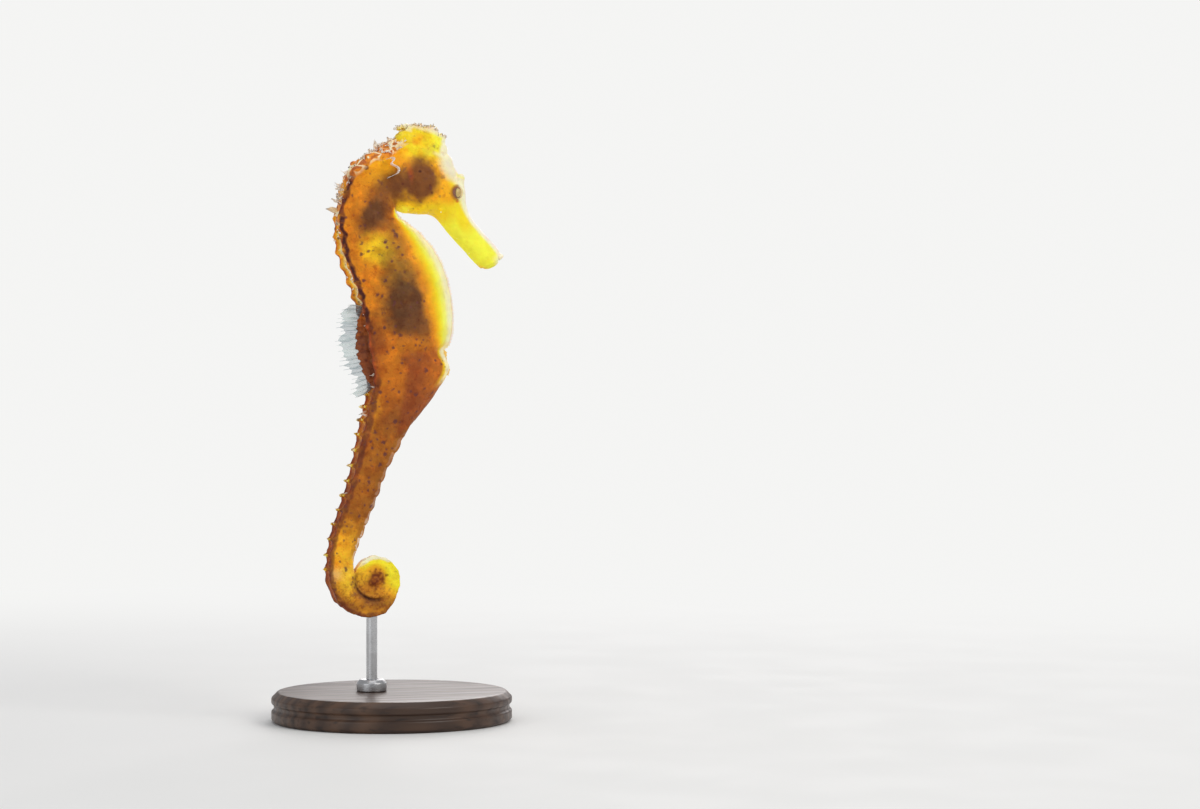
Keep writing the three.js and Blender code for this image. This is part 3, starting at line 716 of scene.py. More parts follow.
class Relief:
    """How far rings, ridges, knobs and grooves stand out of the smooth body."""

    crest_width = 0.24  # of a ring's length
    furrow_width = 0.07
    ridge_width = 0.65  # millimetres

    def __init__(self, body: Body) -> None:
        """Keeps the body that the relief lies on."""
        self.body = body
        self.coil_from = body.length_of("tail bend")

    @staticmethod
    def on_disc(points: Array) -> tuple[Array, Array, Array]:
        """Distance from the middle of the coil's flat sides, and how far ahead and above it.

        Args:
            points: The points.

        Returns:
            The distance, and the places ahead and above.
        """
        x = points[:, 0] + 0.325 * np.abs(points[:, 1]) - Coil.disc[0]
        z = points[:, 2] - LIFT - Coil.disc[1]
        return np.hypot(x, z), x, z

    def crease(self, points: Array, length: Array) -> Array:
        """The crease low on the coil, between its outer turn and the disc inside, from 0 to 1.

        Args:
            points: The points.
            length: Place of each point along the body.

        Returns:
            The depth at each place.
        """
        reach, x, z = self.on_disc(points)
        toward = (-0.62 * x - 0.78 * z) / np.maximum(reach, 0.1)
        on = ease(length, self.coil_from, self.coil_from + 4)
        return on * bell(reach, 4.35 + 0.25 * toward, 0.3) * ease(toward, 0.3, 0.85)

    def height(self, at: Place) -> Array:
        """Millimetres that the relief stands out at each place.

        Args:
            at: Where on the body the points lie.

        Returns:
            The height at each place.
        """
        ring, share = self.body.ring_at(at.length)
        fold, p = at.fold, at.points
        tail = np.clip((ring - self.body.trunk_rings) / self.body.tail_rings, 0, 1)
        on = ease(at.length, self.body.ring_starts[0] - 2.0, self.body.ring_starts[0] + 1.5)
        in_tail = ease(ring, 10, 12)
        crest = bell(share, self.body.crest_at, self.crest_width)
        furrow = np.exp(-((np.minimum(share, 1 - share) / self.furrow_width) ** 2))
        off_ridge = self.body.from_back(at.length, fold) - self.body.from_back(at.length, RIDGE)
        total = 0.1 * crest - 0.07 * furrow
        total += bell(off_ridge, 0, self.ridge_width) * (0.12 + (0.3 - 0.16 * in_tail) * crest)
        sides = bell(fold, SIDE_RIDGE, 0.4) * (0.04 + 0.14 * crest)
        total += sides + bell(fold, 6, 0.4) * (0.04 + 0.1 * crest)
        total += (
            (1 - in_tail) * ease(off_ridge, 0.2, -0.6) * (0.16 * crest + 0.16 * noise(p, 0.9, 11))
        )
        edge = self.body.from_back(at.length, BELLY) - self.body.from_back(at.length, fold)
        total += (1 - in_tail) * (0.14 * ease(edge, 0.6, 0.3) - 0.08 * bell(edge, 0.75, 0.16))
        step = ease(share, 0.1, 0.8) * ease(share, 1.0, 0.86)
        total += 0.18 * bell(fold, 6, 0.42) * step * in_tail * ease(tail, 0.02, 0.12)
        total *= 1 - tail
        pouch = self.pouch(at)
        total = total * (1 - 0.92 * pouch) + 0.05 * pouch - 0.16 * bell(pouch, 0.5, 0.28)
        inner = ease(at.length, self.coil_from - 2, self.coil_from + 3) * ease(fold, 4.2, 5.2)
        return total * on * (1 - inner) + self.nape(at) * (0.7 + 0.65 * self.net(at))

    def nape(self, at: Place) -> Array:
        """How much of the nape's ruffled growth each place carries, from 0 to 1.

        Args:
            at: Where on the body the points lie.

        Returns:
            The amount at each place.
        """
        width = self.body.table(
            at.length,
            (
                ("crown top", 0.6), ("nape", 3.5), ("neck back", 2.8), ("neck", 1.3),
                ("shoulder", 1.0), ("chest", 0.0),
            ),
        )
        over = self.body.from_back(at.length, at.fold)
        start = self.body.length_of("crown back")
        return (
            ease(over, width + 0.5, width - 0.4) * ease(at.length, start - 2, start + 0.5)
            * (width > 0.1)
        )

    def net(self, at: Place) -> Array:
        """A net of thin ridges with hollows between them, from 0 to 1.

        Args:
            at: Where on the body the points lie.

        Returns:
            The height at each place.
        """
        made, here = np.zeros(len(at.points)), self.nape(at) > 0
        points = at.points[here]
        wandering = points + 0.5 * np.stack([noise(points, 1.1, 61 + i) for i in range(3)], -1)
        made[here] = (
            ease(np.abs(noise(wandering, 1.25, 65)), 0.42, 0.1)
            * (0.75 + 0.5 * noise(points, 2.0, 66))
        )
        return made

    def pouch(self, at: Place) -> Array:
        """How far inside the brood pouch each place lies, from 0 to 1.

        Args:
            at: Where on the body the points lie.

        Returns:
            The amount at each place.
        """
        tail = self.body.trunk_rings
        first, last = self.body.ring_starts[[tail, tail + 5]]
        share = (at.length - first) / (last - first)
        line = 3.7 + 1.6 * np.clip(share, 0, 1) ** 2
        inside = ease(at.fold - line, -0.3, 0.3)
        return inside * ease(share, -0.1, 0.08) * ease(share, 1.12, 0.94)


# ---------------------------------------------------------------- the markings


@dataclass(frozen=True)
class Patch:
    """A soft-edged oval of colour on both flanks, seen from the side."""

    colour: Triple
    x: float
    z: float
    long: float
    tall: float
    tilt: float = 0.0
    soft: float = 0.5
    strength: float = 1.0

    def amount(self, points: Array, wander: Array) -> Array:
        """How strongly the patch covers each place, its edge wandering by a given share.

        Args:
            points: The points.
            wander: How far the edge wanders, as a share.

        Returns:
            The strength at each place.
        """
        turn = math.radians(self.tilt)
        dx, dz = points[:, 0] - self.x, points[:, 2] - LIFT - self.z
        u = (dx * math.cos(turn) + dz * math.sin(turn)) / self.long
        v = (-dx * math.sin(turn) + dz * math.cos(turn)) / self.tall
        return self.strength * ease(np.hypot(u, v) + wander, 1 + self.soft, 1 - self.soft)


def patches(*rows: tuple) -> tuple[Patch, ...]:
    """Patches from rows of colour, x, z, half length, half height, tilt, softness and strength."""
    return tuple(Patch(*row) for row in rows)


@dataclass(frozen=True)
class SkinColours:
    """The colours that the skin is painted with."""

    amber: Triple = (0.88, 0.54, 0.1)
    orange: Triple = (0.78, 0.44, 0.11)
    gold: Triple = (0.67, 0.4, 0.11)
    ripe_gold: Triple = (0.98, 0.7, 0.14)
    lemon: Triple = (1.0, 0.98, 0.27)
    yellow: Triple = (1.0, 0.88, 0.14)
    saffron: Triple = (1.0, 0.72, 0.1)
    cream: Triple = (1.0, 0.97, 0.82)
    blush: Triple = (1.0, 0.93, 0.89)
    plum: Triple = (0.29, 0.13, 0.12)
    pouch: Triple = (0.58, 0.29, 0.13)
    pouch_front: Triple = (0.78, 0.44, 0.12)


class Brush:
    """Lays colours over one another on the places of a surface."""

    def __init__(self, places: Array, ground: Triple) -> None:
        """Starts from one ground colour at all places.

        Args:
            places: How many places there are.
            ground: Their colour.
        """
        self.places = places
        self.shade = np.zeros((len(places), 3)) + linear(ground)
        self._wander: Array | None = None

    def over(self, colour: Triple, amount: Array) -> None:
        """Lays a colour over what is there, from not at all at 0 to fully at 1."""
        self.shade += (linear(colour) - self.shade) * np.clip(amount, 0, 1)[:, None]

    def patch(self, patch: Patch) -> None:
        """Lays a patch over what is there.

        Args:
            patch: The patch, with its colour and how strongly it covers.
        """
        if self._wander is None:
            self._wander = 0.17 * noise(self.places, 1.6, 41) + 0.08 * noise(self.places, 0.6, 42)
        self.over(patch.colour, patch.amount(self.places, self._wander))


class Markings:
    """Paints the skin: ground colours, stripes, rims and patches, from the place on the body."""

    flank = patches(
        # painted shadow on the neck, under the head
        ((0.35, 0.21, 0.13), -4.6, 79.9, 2.9, 4.8, -25, 0.6, 0.92),
        ((0.52, 0.3, 0.15), -1.2, 85.0, 3.0, 2.9, 0, 0.5, 0.8),
        ((0.6, 0.35, 0.13), 0.2, 79.0, 2.2, 4.0, 20, 0.7, 0.7),
        ((1.0, 0.84, 0.13), -4.1, 72.8, 2.9, 2.8, -20, 0.7, 0.95),
        ((0.7, 0.5, 0.12), -1.2, 73.2, 2.4, 3.6, -20, 0.7, 0.7),
        ((0.5, 0.38, 0.14), 0.2, 68.4, 3.8, 3.6, -20, 0.7, 0.75),
        # painted shade: the next two patches are the shadow of the inner organs seen through the
        # trunk
        ((0.39, 0.26, 0.15), 1.3, 62.4, 4.8, 5.4, -8, 0.5, 0.95),
        ((0.42, 0.26, 0.15), 3.4, 58.4, 4.4, 3.8, -20, 0.6, 0.85),
        ((0.74, 0.48, 0.13), 1.6, 75.2, 2.0, 2.6, -20, 0.7, 0.7),
        ((0.56, 0.31, 0.13), -0.5, 39.5, 2.4, 2.8, -20, 0.7, 0.6),
        ((0.9, 0.54, 0.1), -6.1, 64.4, 1.5, 6.0, -6, 0.6, 0.6),
        ((0.84, 0.52, 0.1), 2.4, 52.6, 4.2, 2.4, 20, 0.7, 0.6),
        ((0.52, 0.25, 0.12), -5.4, 55.0, 3.0, 4.6, -5, 0.7, 0.7),
        ((0.82, 0.48, 0.1), -0.4, 49.4, 2.6, 3.0, -10, 0.7, 0.6),
        ((0.9, 0.6, 0.12), -4.7, 41.8, 1.5, 4.8, -10, 0.7, 0.5),
        ((1.0, 0.72, 0.14), -10.3, 12.0, 1.5, 4.0, -8, 0.7, 0.75),
    )
    head = patches(
        ((0.46, 0.26, 0.13), 4.6, 87.0, 4.1, 4.2, 0, 0.34, 0.97),
        ((0.62, 0.38, 0.14), 0.9, 89.2, 1.7, 1.8, 0, 0.6, 0.8),
        ((0.46, 0.26, 0.13), 0.2, 86.2, 2.7, 2.4, 0, 0.5, 0.9),
        ((0.74, 0.32, 0.13), 2.7, 88.4, 0.5, 1.7, 6, 0.8, 0.5),
        ((0.85, 0.36, 0.08), -1.2, 92.3, 1.3, 0.8, -20, 0.7, 0.8),
        ((0.42, 0.2, 0.1), -6.0, 89.2, 0.5, 0.5, 0, 0.3, 0.9),
        ((0.24, 0.1, 0.08), 4.6, 88.6, 0.3, 0.26, 0, 0.6, 0.9),
        ((0.36, 0.16, 0.09), 6.7, 85.9, 0.26, 0.22, 0, 0.6, 0.8),
        ((0.4, 0.2, 0.1), 7.1, 84.4, 0.24, 0.28, 0, 0.6, 0.8),
        ((0.36, 0.16, 0.09), 1.1, 86.0, 0.3, 0.24, 0, 0.6, 0.8),
        ((1.0, 0.68, 0.12), 0.3, 91.2, 2.6, 1.8, -20, 0.7, 0.75),
        ((1.0, 0.98, 0.3), 8.0, 93.8, 2.2, 1.6, 0, 0.7, 0.85),
        # painted highlight: cream on the front of the forehead
        ((1.0, 0.97, 0.86), 10.9, 89.3, 1.3, 2.3, 35, 0.8, 0.75),
        ((1.0, 0.96, 0.3), 2.0, 81.0, 1.3, 0.7, 0, 0.7, 0.85),
        # painted highlight: a small pale spot at the front foot of the crown
        ((1.0, 0.98, 0.9), 9.2, 92.9, 1.2, 0.9, -15, 0.8, 0.85),
        ((0.86, 0.38, 0.08), 12.6, 82.9, 0.35, 0.25, 0, 0.6, 0.8),
        ((0.8, 0.5, 0.12), 9.6, 83.9, 0.3, 0.5, -30, 0.6, 0.6),
    )
    coil = patches(
        ((1.0, 0.78, 0.16), -6.5, 8.7, 1.4, 1.7, 0, 0.7, 0.8),
        ((1.0, 0.8, 0.18), -9.3, 8.2, 1.7, 3.4, 0, 0.7, 0.95),
        # painted shadow: the next two patches darken the crescent-shaped gap low on the coil,
        # between its outer turn and the disc
        ((0.5, 0.28, 0.12), -3.4, 2.6, 3.4, 1.1, 6, 0.7, 0.5),
        ((0.45, 0.23, 0.12), -9.0, 1.8, 2.6, 0.9, -38, 0.7, 0.6),
    )
    keel_widths = (
        ("nape", 0.0), ("gill opening", 0.5), ("neck", 1.6), ("shoulder", 2.8), ("chest", 5.4),
        ("chest foot", 6.9), ("belly", 6.9), ("belly swell", 6.3), ("belly foot", 4.7),
        ("vent", 2.2), ("pouch", 0.0),
    )
    # how far the dark stripe runs outside the upper ridge, and half its width
    stripe_places = (
        ("neck", 0.1), ("shoulder", 0.2), ("chest", 0.45), ("belly", 0.3), ("vent", 0.4),
        ("pouch foot", 0.4), ("tail top", 0.35), ("tail upper", 0.2), ("tail middle", 0.1),
        ("tail foot", 0.1),
    )
    stripe_widths = (
        ("neck", 0.5), ("belly", 0.52), ("belly foot", 0.42), ("vent", 0.6), ("pouch foot", 0.8),
        ("tail upper", 0.75), ("tail foot", 0.6),
    )

    def __init__(self, body: Body, relief: Relief) -> None:
        """Keeps the shapes that the markings follow.

        Args:
            body: The body.
            relief: Its relief.
        """
        self.body = body
        self.relief = relief
        self.colours = SkinColours()

    def between(
        self, length: Array, low: str, high: str, before: float = 0, after: float = 0
    ) -> Array:
        """A smooth step from 0 at one section to 1 at another, each moved along by millimetres."""
        return ease(length, self.body.length_of(low) + before, self.body.length_of(high) + after)

    def ground(self, at: Place) -> Array:
        """The skin's colour at each place.

        Args:
            at: The places.

        Returns:
            Colours as light, shape (n, 3).
        """
        c, s = self.colours, at.length
        wide, fine = noise(at.points, 2.6, 1), noise(at.points, 0.8, 2)
        brush = Brush(at.points, c.amber)
        lower = (
            self.between(s, "belly foot", "vent", -4) * self.between(s, "tail top", "pouch foot", 4)
        )
        brush.over(c.orange, lower)
        brush.over(c.gold, self.between(s, "pouch", "tail top"))
        brush.over(c.ripe_gold, self.between(s, "tail middle", "tail foot", 3, -2))
        brush.over(c.saffron, self.between(s, "neck", "gill opening", 0, -2))
        for patch in self.flank:
            brush.patch(patch)
        pouch = self.relief.pouch(at)
        brush.over(c.pouch, 0.85 * pouch)
        brush.over(
            c.pouch_front,
            0.8 * pouch * ease(at.points[:, 2] - LIFT, 41, 46.5) * ease(at.points[:, 0], 4, 8),
        )
        self._head(at, brush)
        self._keel(at, brush, fine)
        self._coil(at, brush)
        self._back(at, brush, wide, fine)
        return np.clip(brush.shade * (1 + 0.1 * wide + 0.05 * fine)[:, None], 0, 1)

    def _head(self, at: Place, brush: Brush) -> None:
        """Yellow snout and crown, golden cheeks and the pale line down forehead and snout, a
        painted highlight.

        Args:
            at: Where on the body the points lie.
            brush: What the colours are laid on with.
        """
        c, s, fold = self.colours, at.length, at.fold
        x, z = at.points[:, 0], at.points[:, 2] - LIFT
        on = self.between(s, "gill opening", "gill opening", -1, -5)
        flow = noise(at.points, 1.7, 31)
        brush.over(c.yellow, on * ease(z, 89.5, 93.0) * ease(x, -2, 3))
        brush.over(c.saffron, on * ease(z, 91, 93) * ease(flow, 0.1, 0.6) * 0.8)
        brush.over(c.yellow, on * ease(z, 83.4, 81.4) * 0.8)
        brush.over(c.lemon, self.between(s, "eye", "snout root", -0.6, -1.6))
        # painted highlight: a yellow, cream and blush band along the front edge of forehead and
        # snout
        edge = self.body.from_line(at, 0) + 0.15 * flow
        front = on * ease(z, 95, 93.5) * ease(fold, 5.5, 4.5) * ease(x, 8.5, 10.5)
        brush.over(
            c.yellow, front * ease(edge, 4.4, 2.6) * (1 - self.between(s, "snout root", "snout"))
        )
        width = 3.2 - 1.7 * self.between(s, "brow", "snout root")
        brush.over(c.cream, front * ease(edge, width, width * 0.5) * 0.95)
        brush.over(c.blush, front * ease(edge, 0.9, 0.3) * 0.8)
        # painted highlight: cream on the upper side of the lips
        brush.over(c.cream, self.between(s, "lips", "mouth", -0.5) * ease(fold, 4.6, 2.5) * 0.75)
        brush.over(
            (0.98, 0.72, 0.24), self.between(s, "lips", "mouth") * ease(fold, 6.0, 7.5) * 0.7
        )
        for patch in self.head:
            brush.patch(patch)

    def keel_width(self, at: Place) -> Array:
        """How wide the yellow belly strip is at each place."""
        return self.body.table(at.length, self.keel_widths)

    def _keel(self, at: Place, brush: Brush, fine: Array) -> None:
        """The yellow belly strip, paler towards the edge as painted light, with its pale rim, a
        painted highlight, and the pale lower edge of the tail.

        Args:
            at: Where on the body the points lie.
            brush: What the colours are laid on with.
            fine: Fine noise at the places.
        """
        c, s, fold = self.colours, at.length, at.fold
        edge = self.body.from_line(at, BELLY) + 0.12 * fine
        width = self.keel_width(at) * (1 + 0.1 * noise(at.points, 3.0, 44))
        on = ease(width, 0.2, 0.8) * ease(fold, 2.8, 3.8)
        # painted light: the strip is the skin's yellow, painted paler towards the edge where the
        # belly glows, and its cream edge is a painted highlight
        # colour, where it starts and is full as shares of the strip's width, and its strength
        for colour, outer, inner, strength in (
            ((0.9, 0.58, 0.12), 1.25, 0.85, 0.9),
            (c.saffron, 1.0, 0.75, 0.9),
            (c.yellow, 0.85, 0.6, 1),
            (c.lemon, 0.68, 0.48, 1),
            ((1.0, 0.98, 0.6), 0.6, 0.32, 0.6),
            (c.cream, 0.42, 0.2, 0.85),
        ):
            brush.over(colour, on * ease(edge, width * outer, width * inner) * strength)
        brush.over((0.85, 0.68, 0.4), on * bell(edge, 0.45, 0.1) * 0.6)
        # painted highlight: a blush line on the very edge of the belly
        brush.over(c.blush, on * ease(edge, 0.42, 0.3))
        vent = (
            self.between(s, "belly foot", "vent")
            * self.between(s, "pouch swell", "pouch", 0.5, 0.5)
        )
        brush.over(c.pouch_front, vent * ease(edge, 3.2, 1.6) * 0.9)
        brush.over(c.yellow, vent * ease(edge, 2.4, 1.5) * 0.9)
        brush.over(c.cream, vent * ease(edge, 1.7, 0.9) * 0.9)
        tail = (
            self.between(s, "pouch foot", "tail top", -3) * self.between(s, "coil", "tail bend", 3)
        )
        share = self.body.ring_at(s)[1]
        flake = (
            tail * ease(share, 0.95, 0.8) * (0.75 + 0.25 * fine)
            * (0.15 + 0.85 * self.between(s, "tail upper", "tail foot"))
        )
        brush.over((0.62, 0.4, 0.16), tail * ease(edge, 1.1, 0.7) * 0.5)
        brush.over(
            c.blush, flake * ease(edge + 0.35 * noise(at.points, 0.8, 45), 0.34, 0.16) * 0.85
        )

    def _coil(self, at: Place, brush: Brush) -> None:
        """Painted light and shade on the coil: yellow on its top and front and brownish gold below;
        and a red-brown heart.

        Args:
            at: Where on the body the points lie.
            brush: What the colours are laid on with.
        """
        c, p, coil = self.colours, at.points, Coil()
        dx, dz = p[:, 0] - coil.centre[0] - 0.15, p[:, 2] - LIFT - coil.centre[1] - 0.7
        reach = np.hypot(dx, dz)
        on = self.between(at.length, "tail foot", "coil", 0, 5)
        way = (0.5 * dx + 0.87 * dz) / np.maximum(reach, 0.4)
        # painted light and shade: yellow and lemon on the coil's top and front, where the light
        # falls, brownish gold on its lower side, in shade
        bright = ease(way, -0.5, 0.5)
        brush.over((0.78, 0.5, 0.13), on * ease(way, 0.0, -0.8) * 0.8)
        brush.over(c.yellow, on * bright * ease(reach, 1.6, 3.0))
        brush.over(c.lemon, on * ease(way, 0.1, 0.8) * ease(reach, 2.5, 3.6) * 0.5)
        # painted light: bright yellow on the side of the outer turn that faces up and ahead
        outside, ox, oz = self.relief.on_disc(p)
        toward = (0.5 * ox + 0.87 * oz) / np.maximum(outside, 0.4)
        brush.over((1.0, 0.93, 0.18), on * ease(toward, -0.3, 0.2) * ease(outside, 2.4, 3.5) * 0.9)
        # painted highlight: a cream and blush rim along the coil's top edge
        above = (oz - 0.15 * ox) / np.maximum(outside, 0.4)
        top = ease(above, 0.4, 0.85)
        rim = (
            on * ease(above, 0.0, 0.4)
            * ease(outside + 0.12 * noise(p, 0.6, 12) + 1.0 * top, 4.35, 4.75)
        )
        brush.over(c.cream, rim)
        brush.over(c.blush, rim * ease(outside + 0.4 * top, 4.6, 4.9) * 0.6)
        angle = np.arctan2(dz, dx)
        streak = 0.5 + 0.35 * np.sin(9 * angle + 4 * noise(p, 1.2, 7)) + 0.9 * noise(p, 0.4, 8)
        lopsided = 0.55 * np.cos(angle + 0.9)
        brush.over((0.66, 0.34, 0.1), on * ease(reach - lopsided, 2.6, 0.6) * 0.8)
        grain = ease(noise(p, 0.4, 17), -0.4, 0.3)
        brush.over(
            (0.4, 0.14, 0.06),
            on * ease(reach - 0.9 * streak - lopsided, 1.9, 0.6) * (0.3 + 0.55 * grain),
        )
        for patch in self.coil:
            brush.patch(patch)
        below = on * ease(toward, 0.1, -0.6)
        blots = ease(noise(p, 0.5, 18) + 0.7 * noise(p, 0.25, 19), 0.0, 0.6)
        brush.over((0.5, 0.2, 0.08), below * ease(outside, 2.2, 3.2) * blots * 0.5)
        # painted shade along the lower outer edge of the coil, beside the crease
        brush.over(
            (0.45, 0.27, 0.16),
            bell(outside, 4.75, 0.6) * ease(toward, -0.45, -0.8) * on * ease(ox, 1.5, -0.5) * 0.75,
        )
        # painted shade: dark in the crease between the outer turn and the disc inside
        crease = self.relief.crease(p, at.length)
        brush.over((0.3, 0.15, 0.1), crease * (0.75 + 0.5 * noise(p, 0.5, 16)))
        line = self.between(at.length, "tail foot", "coil", 0, 3) * ease(at.fold, 2.6, 1.2)
        low = ease(toward, 0.1, -0.5)
        brush.over((0.42, 0.2, 0.13), line * low * (0.5 + 0.4 * noise(p, 0.7, 13)))

    def _before_coil(self, length: Array) -> Array:
        """1 up to the coil's first turn, 0 from its second on."""
        return self.between(length, "coil", "coil", 16, 5)

    def _back(self, at: Place, brush: Brush, wide: Array, fine: Array) -> None:
        """The back between the upper ridges: red-orange, with yellow knobs and a pale nape.

        Args:
            at: Where on the body the points lie.
            brush: What the colours are laid on with.
            wide: Wide noise at the places.
            fine: Fine noise at the places.
        """
        c, s = self.colours, at.length
        ring, share = self.body.ring_at(s)
        on = self.between(s, "gill opening", "neck", 1, 1)
        in_tail = ease(ring, 10.5, 13)
        thin = self._before_coil(s)
        over, ridge = self.body.from_back(s, at.fold), self.body.from_back(s, RIDGE)
        off_ridge, inner = over - ridge, over / np.maximum(ridge, 0.1)
        inside = ease(off_ridge, 0.3, -0.2) * on * thin
        crest = bell(share, self.body.crest_at, 0.22)
        brush.over((0.86, 0.4, 0.13), inside * 0.9)
        # colour, where it starts and is full on the way to the middle, its strength between crests
        # and how much more it has on them, and how far it fades on the tail
        for colour, outer, full, steady, crested, fades in (
            ((0.96, 0.58, 0.14), 1.0, 0.75, 1, 0, 0.8),
            (c.yellow, 0.88, 0.5, 0.6, 0.4, 0.7),
            (c.cream, 0.7, 0.35, 0.55, 0.4, 0.8),
        ):
            amount = inside * ease(inner, outer, full) * (steady + crested * crest)
            brush.over(colour, amount * (1 - fades * in_tail))
        brush.over((0.6, 0.28, 0.14), inside * in_tail * (0.4 + 0.45 * ease(ring, 14, 20)))
        brush.over(
            c.ripe_gold,
            inside * crest * in_tail * ease(ring, 24, 14) * ease(inner, 0.95, 0.4) * 0.7,
        )
        brush.over((0.5, 0.2, 0.1), inside * ease(wide + 0.6 * fine, 0.2, 0.7) * 0.4)
        brush.over(
            (0.84, 0.36, 0.12), bell(off_ridge, -0.1, 0.35) * on * thin * (1 - in_tail) * 0.75
        )
        fin = ease(ring, 6.5, 8.5) * ease(ring, 13.5, 12)
        brush.over(
            c.saffron,
            bell(off_ridge, -0.1, 0.45) * crest * on * thin * (1 - 0.5 * in_tail) * (1 - fin),
        )
        brush.over((0.54, 0.3, 0.17), inside * fin * ease(inner, 1.2, 0.9) * (0.95 + 0.2 * fine))
        brush.over((0.38, 0.17, 0.12), inside * fin * ease(fine + 0.6 * wide, 0.0, 0.6) * 0.5)
        nape, net = self.relief.nape(at), self.relief.net(at)
        brush.over((0.93, 0.56, 0.2), nape * 0.8)
        brush.over((0.62, 0.3, 0.2), nape * ease(net, 0.35, 0.1) * ease(fine, -0.1, 0.3) * 0.7)
        brush.over((1.0, 0.95, 0.8), nape * ease(net, 0.25, 0.6))
        self._stripe(at, brush, crest, in_tail, nape)

    def _stripe(self, at: Place, brush: Brush, crest: Array, in_tail: Array, nape: Array) -> None:
        """The dark stripe outside the upper ridge, from the neck to the coil.

        Args:
            at: Where on the body the points lie.
            brush: What the colours are laid on with.
            crest: How near each place lies to a ring crest.
            in_tail: How far each place lies inside the tail.
            nape: How far each place lies on the nape.
        """
        s = at.length
        off_ridge = self.body.from_back(s, at.fold) - self.body.from_back(s, RIDGE)
        thin = self._before_coil(s)
        half = self.body.table(s, self.stripe_widths) * (1 + 0.25 * noise(at.points, 1.2, 14))
        line = (
            self.body.table(s, self.stripe_places) + (0.45 - 0.3 * in_tail) * (crest - 0.4)
            + 0.22 * noise(at.points, 1.0, 15)
        )
        blot = ease(noise(at.points, 0.9, 5) + 0.6 * noise(at.points, 0.4, 6), -0.5, 0.25)
        lined = self.between(s, "neck back", "neck", 0, -1) * thin * (1 - 0.6 * nape)
        at_fin = (
            0.7 * self.between(s, "belly swell", "belly foot")
            * self.between(s, "pouch swell", "pouch")
        )
        lined = lined * (1 - at_fin)
        band = ease(np.abs(off_ridge - line), half * 1.3, half * 0.4) * lined
        brush.over(
            (0.55, 0.24, 0.15),
            ease(np.abs(off_ridge - line + 0.2), half * 1.6, half * 0.8) * lined * 0.5,
        )
        brush.over(self.colours.plum, band * (0.6 + 0.4 * blot) * (1 - 0.45 * in_tail))

    def spots(self, at: Place) -> Array:
        """How many dark spots the skin may carry at each place, from 0 to 1.

        Args:
            at: Where on the body the points lie.

        Returns:
            The amount at each place.
        """
        s = at.length
        snout = self.between(s, "snout root", "eye", 1, 4)
        edge, width = self.body.from_line(at, BELLY), self.keel_width(at)
        head = 1 - 0.45 * self.between(s, "neck", "gill opening")
        back = 1 - 0.7 * self.relief.nape(at)
        coil = 1 - 0.6 * self.between(s, "tail foot", "coil", 2, 6)
        front = (
            self.between(s, "gill opening", "gill opening", -1, -5)
            * ease(at.points[:, 0], 8.5, 10.5)
        )
        coil = coil * (1 - 0.95 * front * ease(self.body.from_line(at, 0), 4.6, 3.2))
        return snout * head * back * coil * ease(edge, width * 0.75 - 0.2, width * 1.1 + 0.3)


# ---------------------------------------------------------------- materials


@dataclass(frozen=True)
class Finish:
    """Values of a surface that are the same all over it."""

    roughness: float = 0.5
    metallic: float = 0.0
    specular: float = 0.5
    coat: float = 0.0
    coat_roughness: float = 0.2
    subsurface: float = 0.0
    subsurface_radius: Triple = (1.0, 0.4, 0.15)
    subsurface_scale: float = 0.001
    ior: float = 1.45


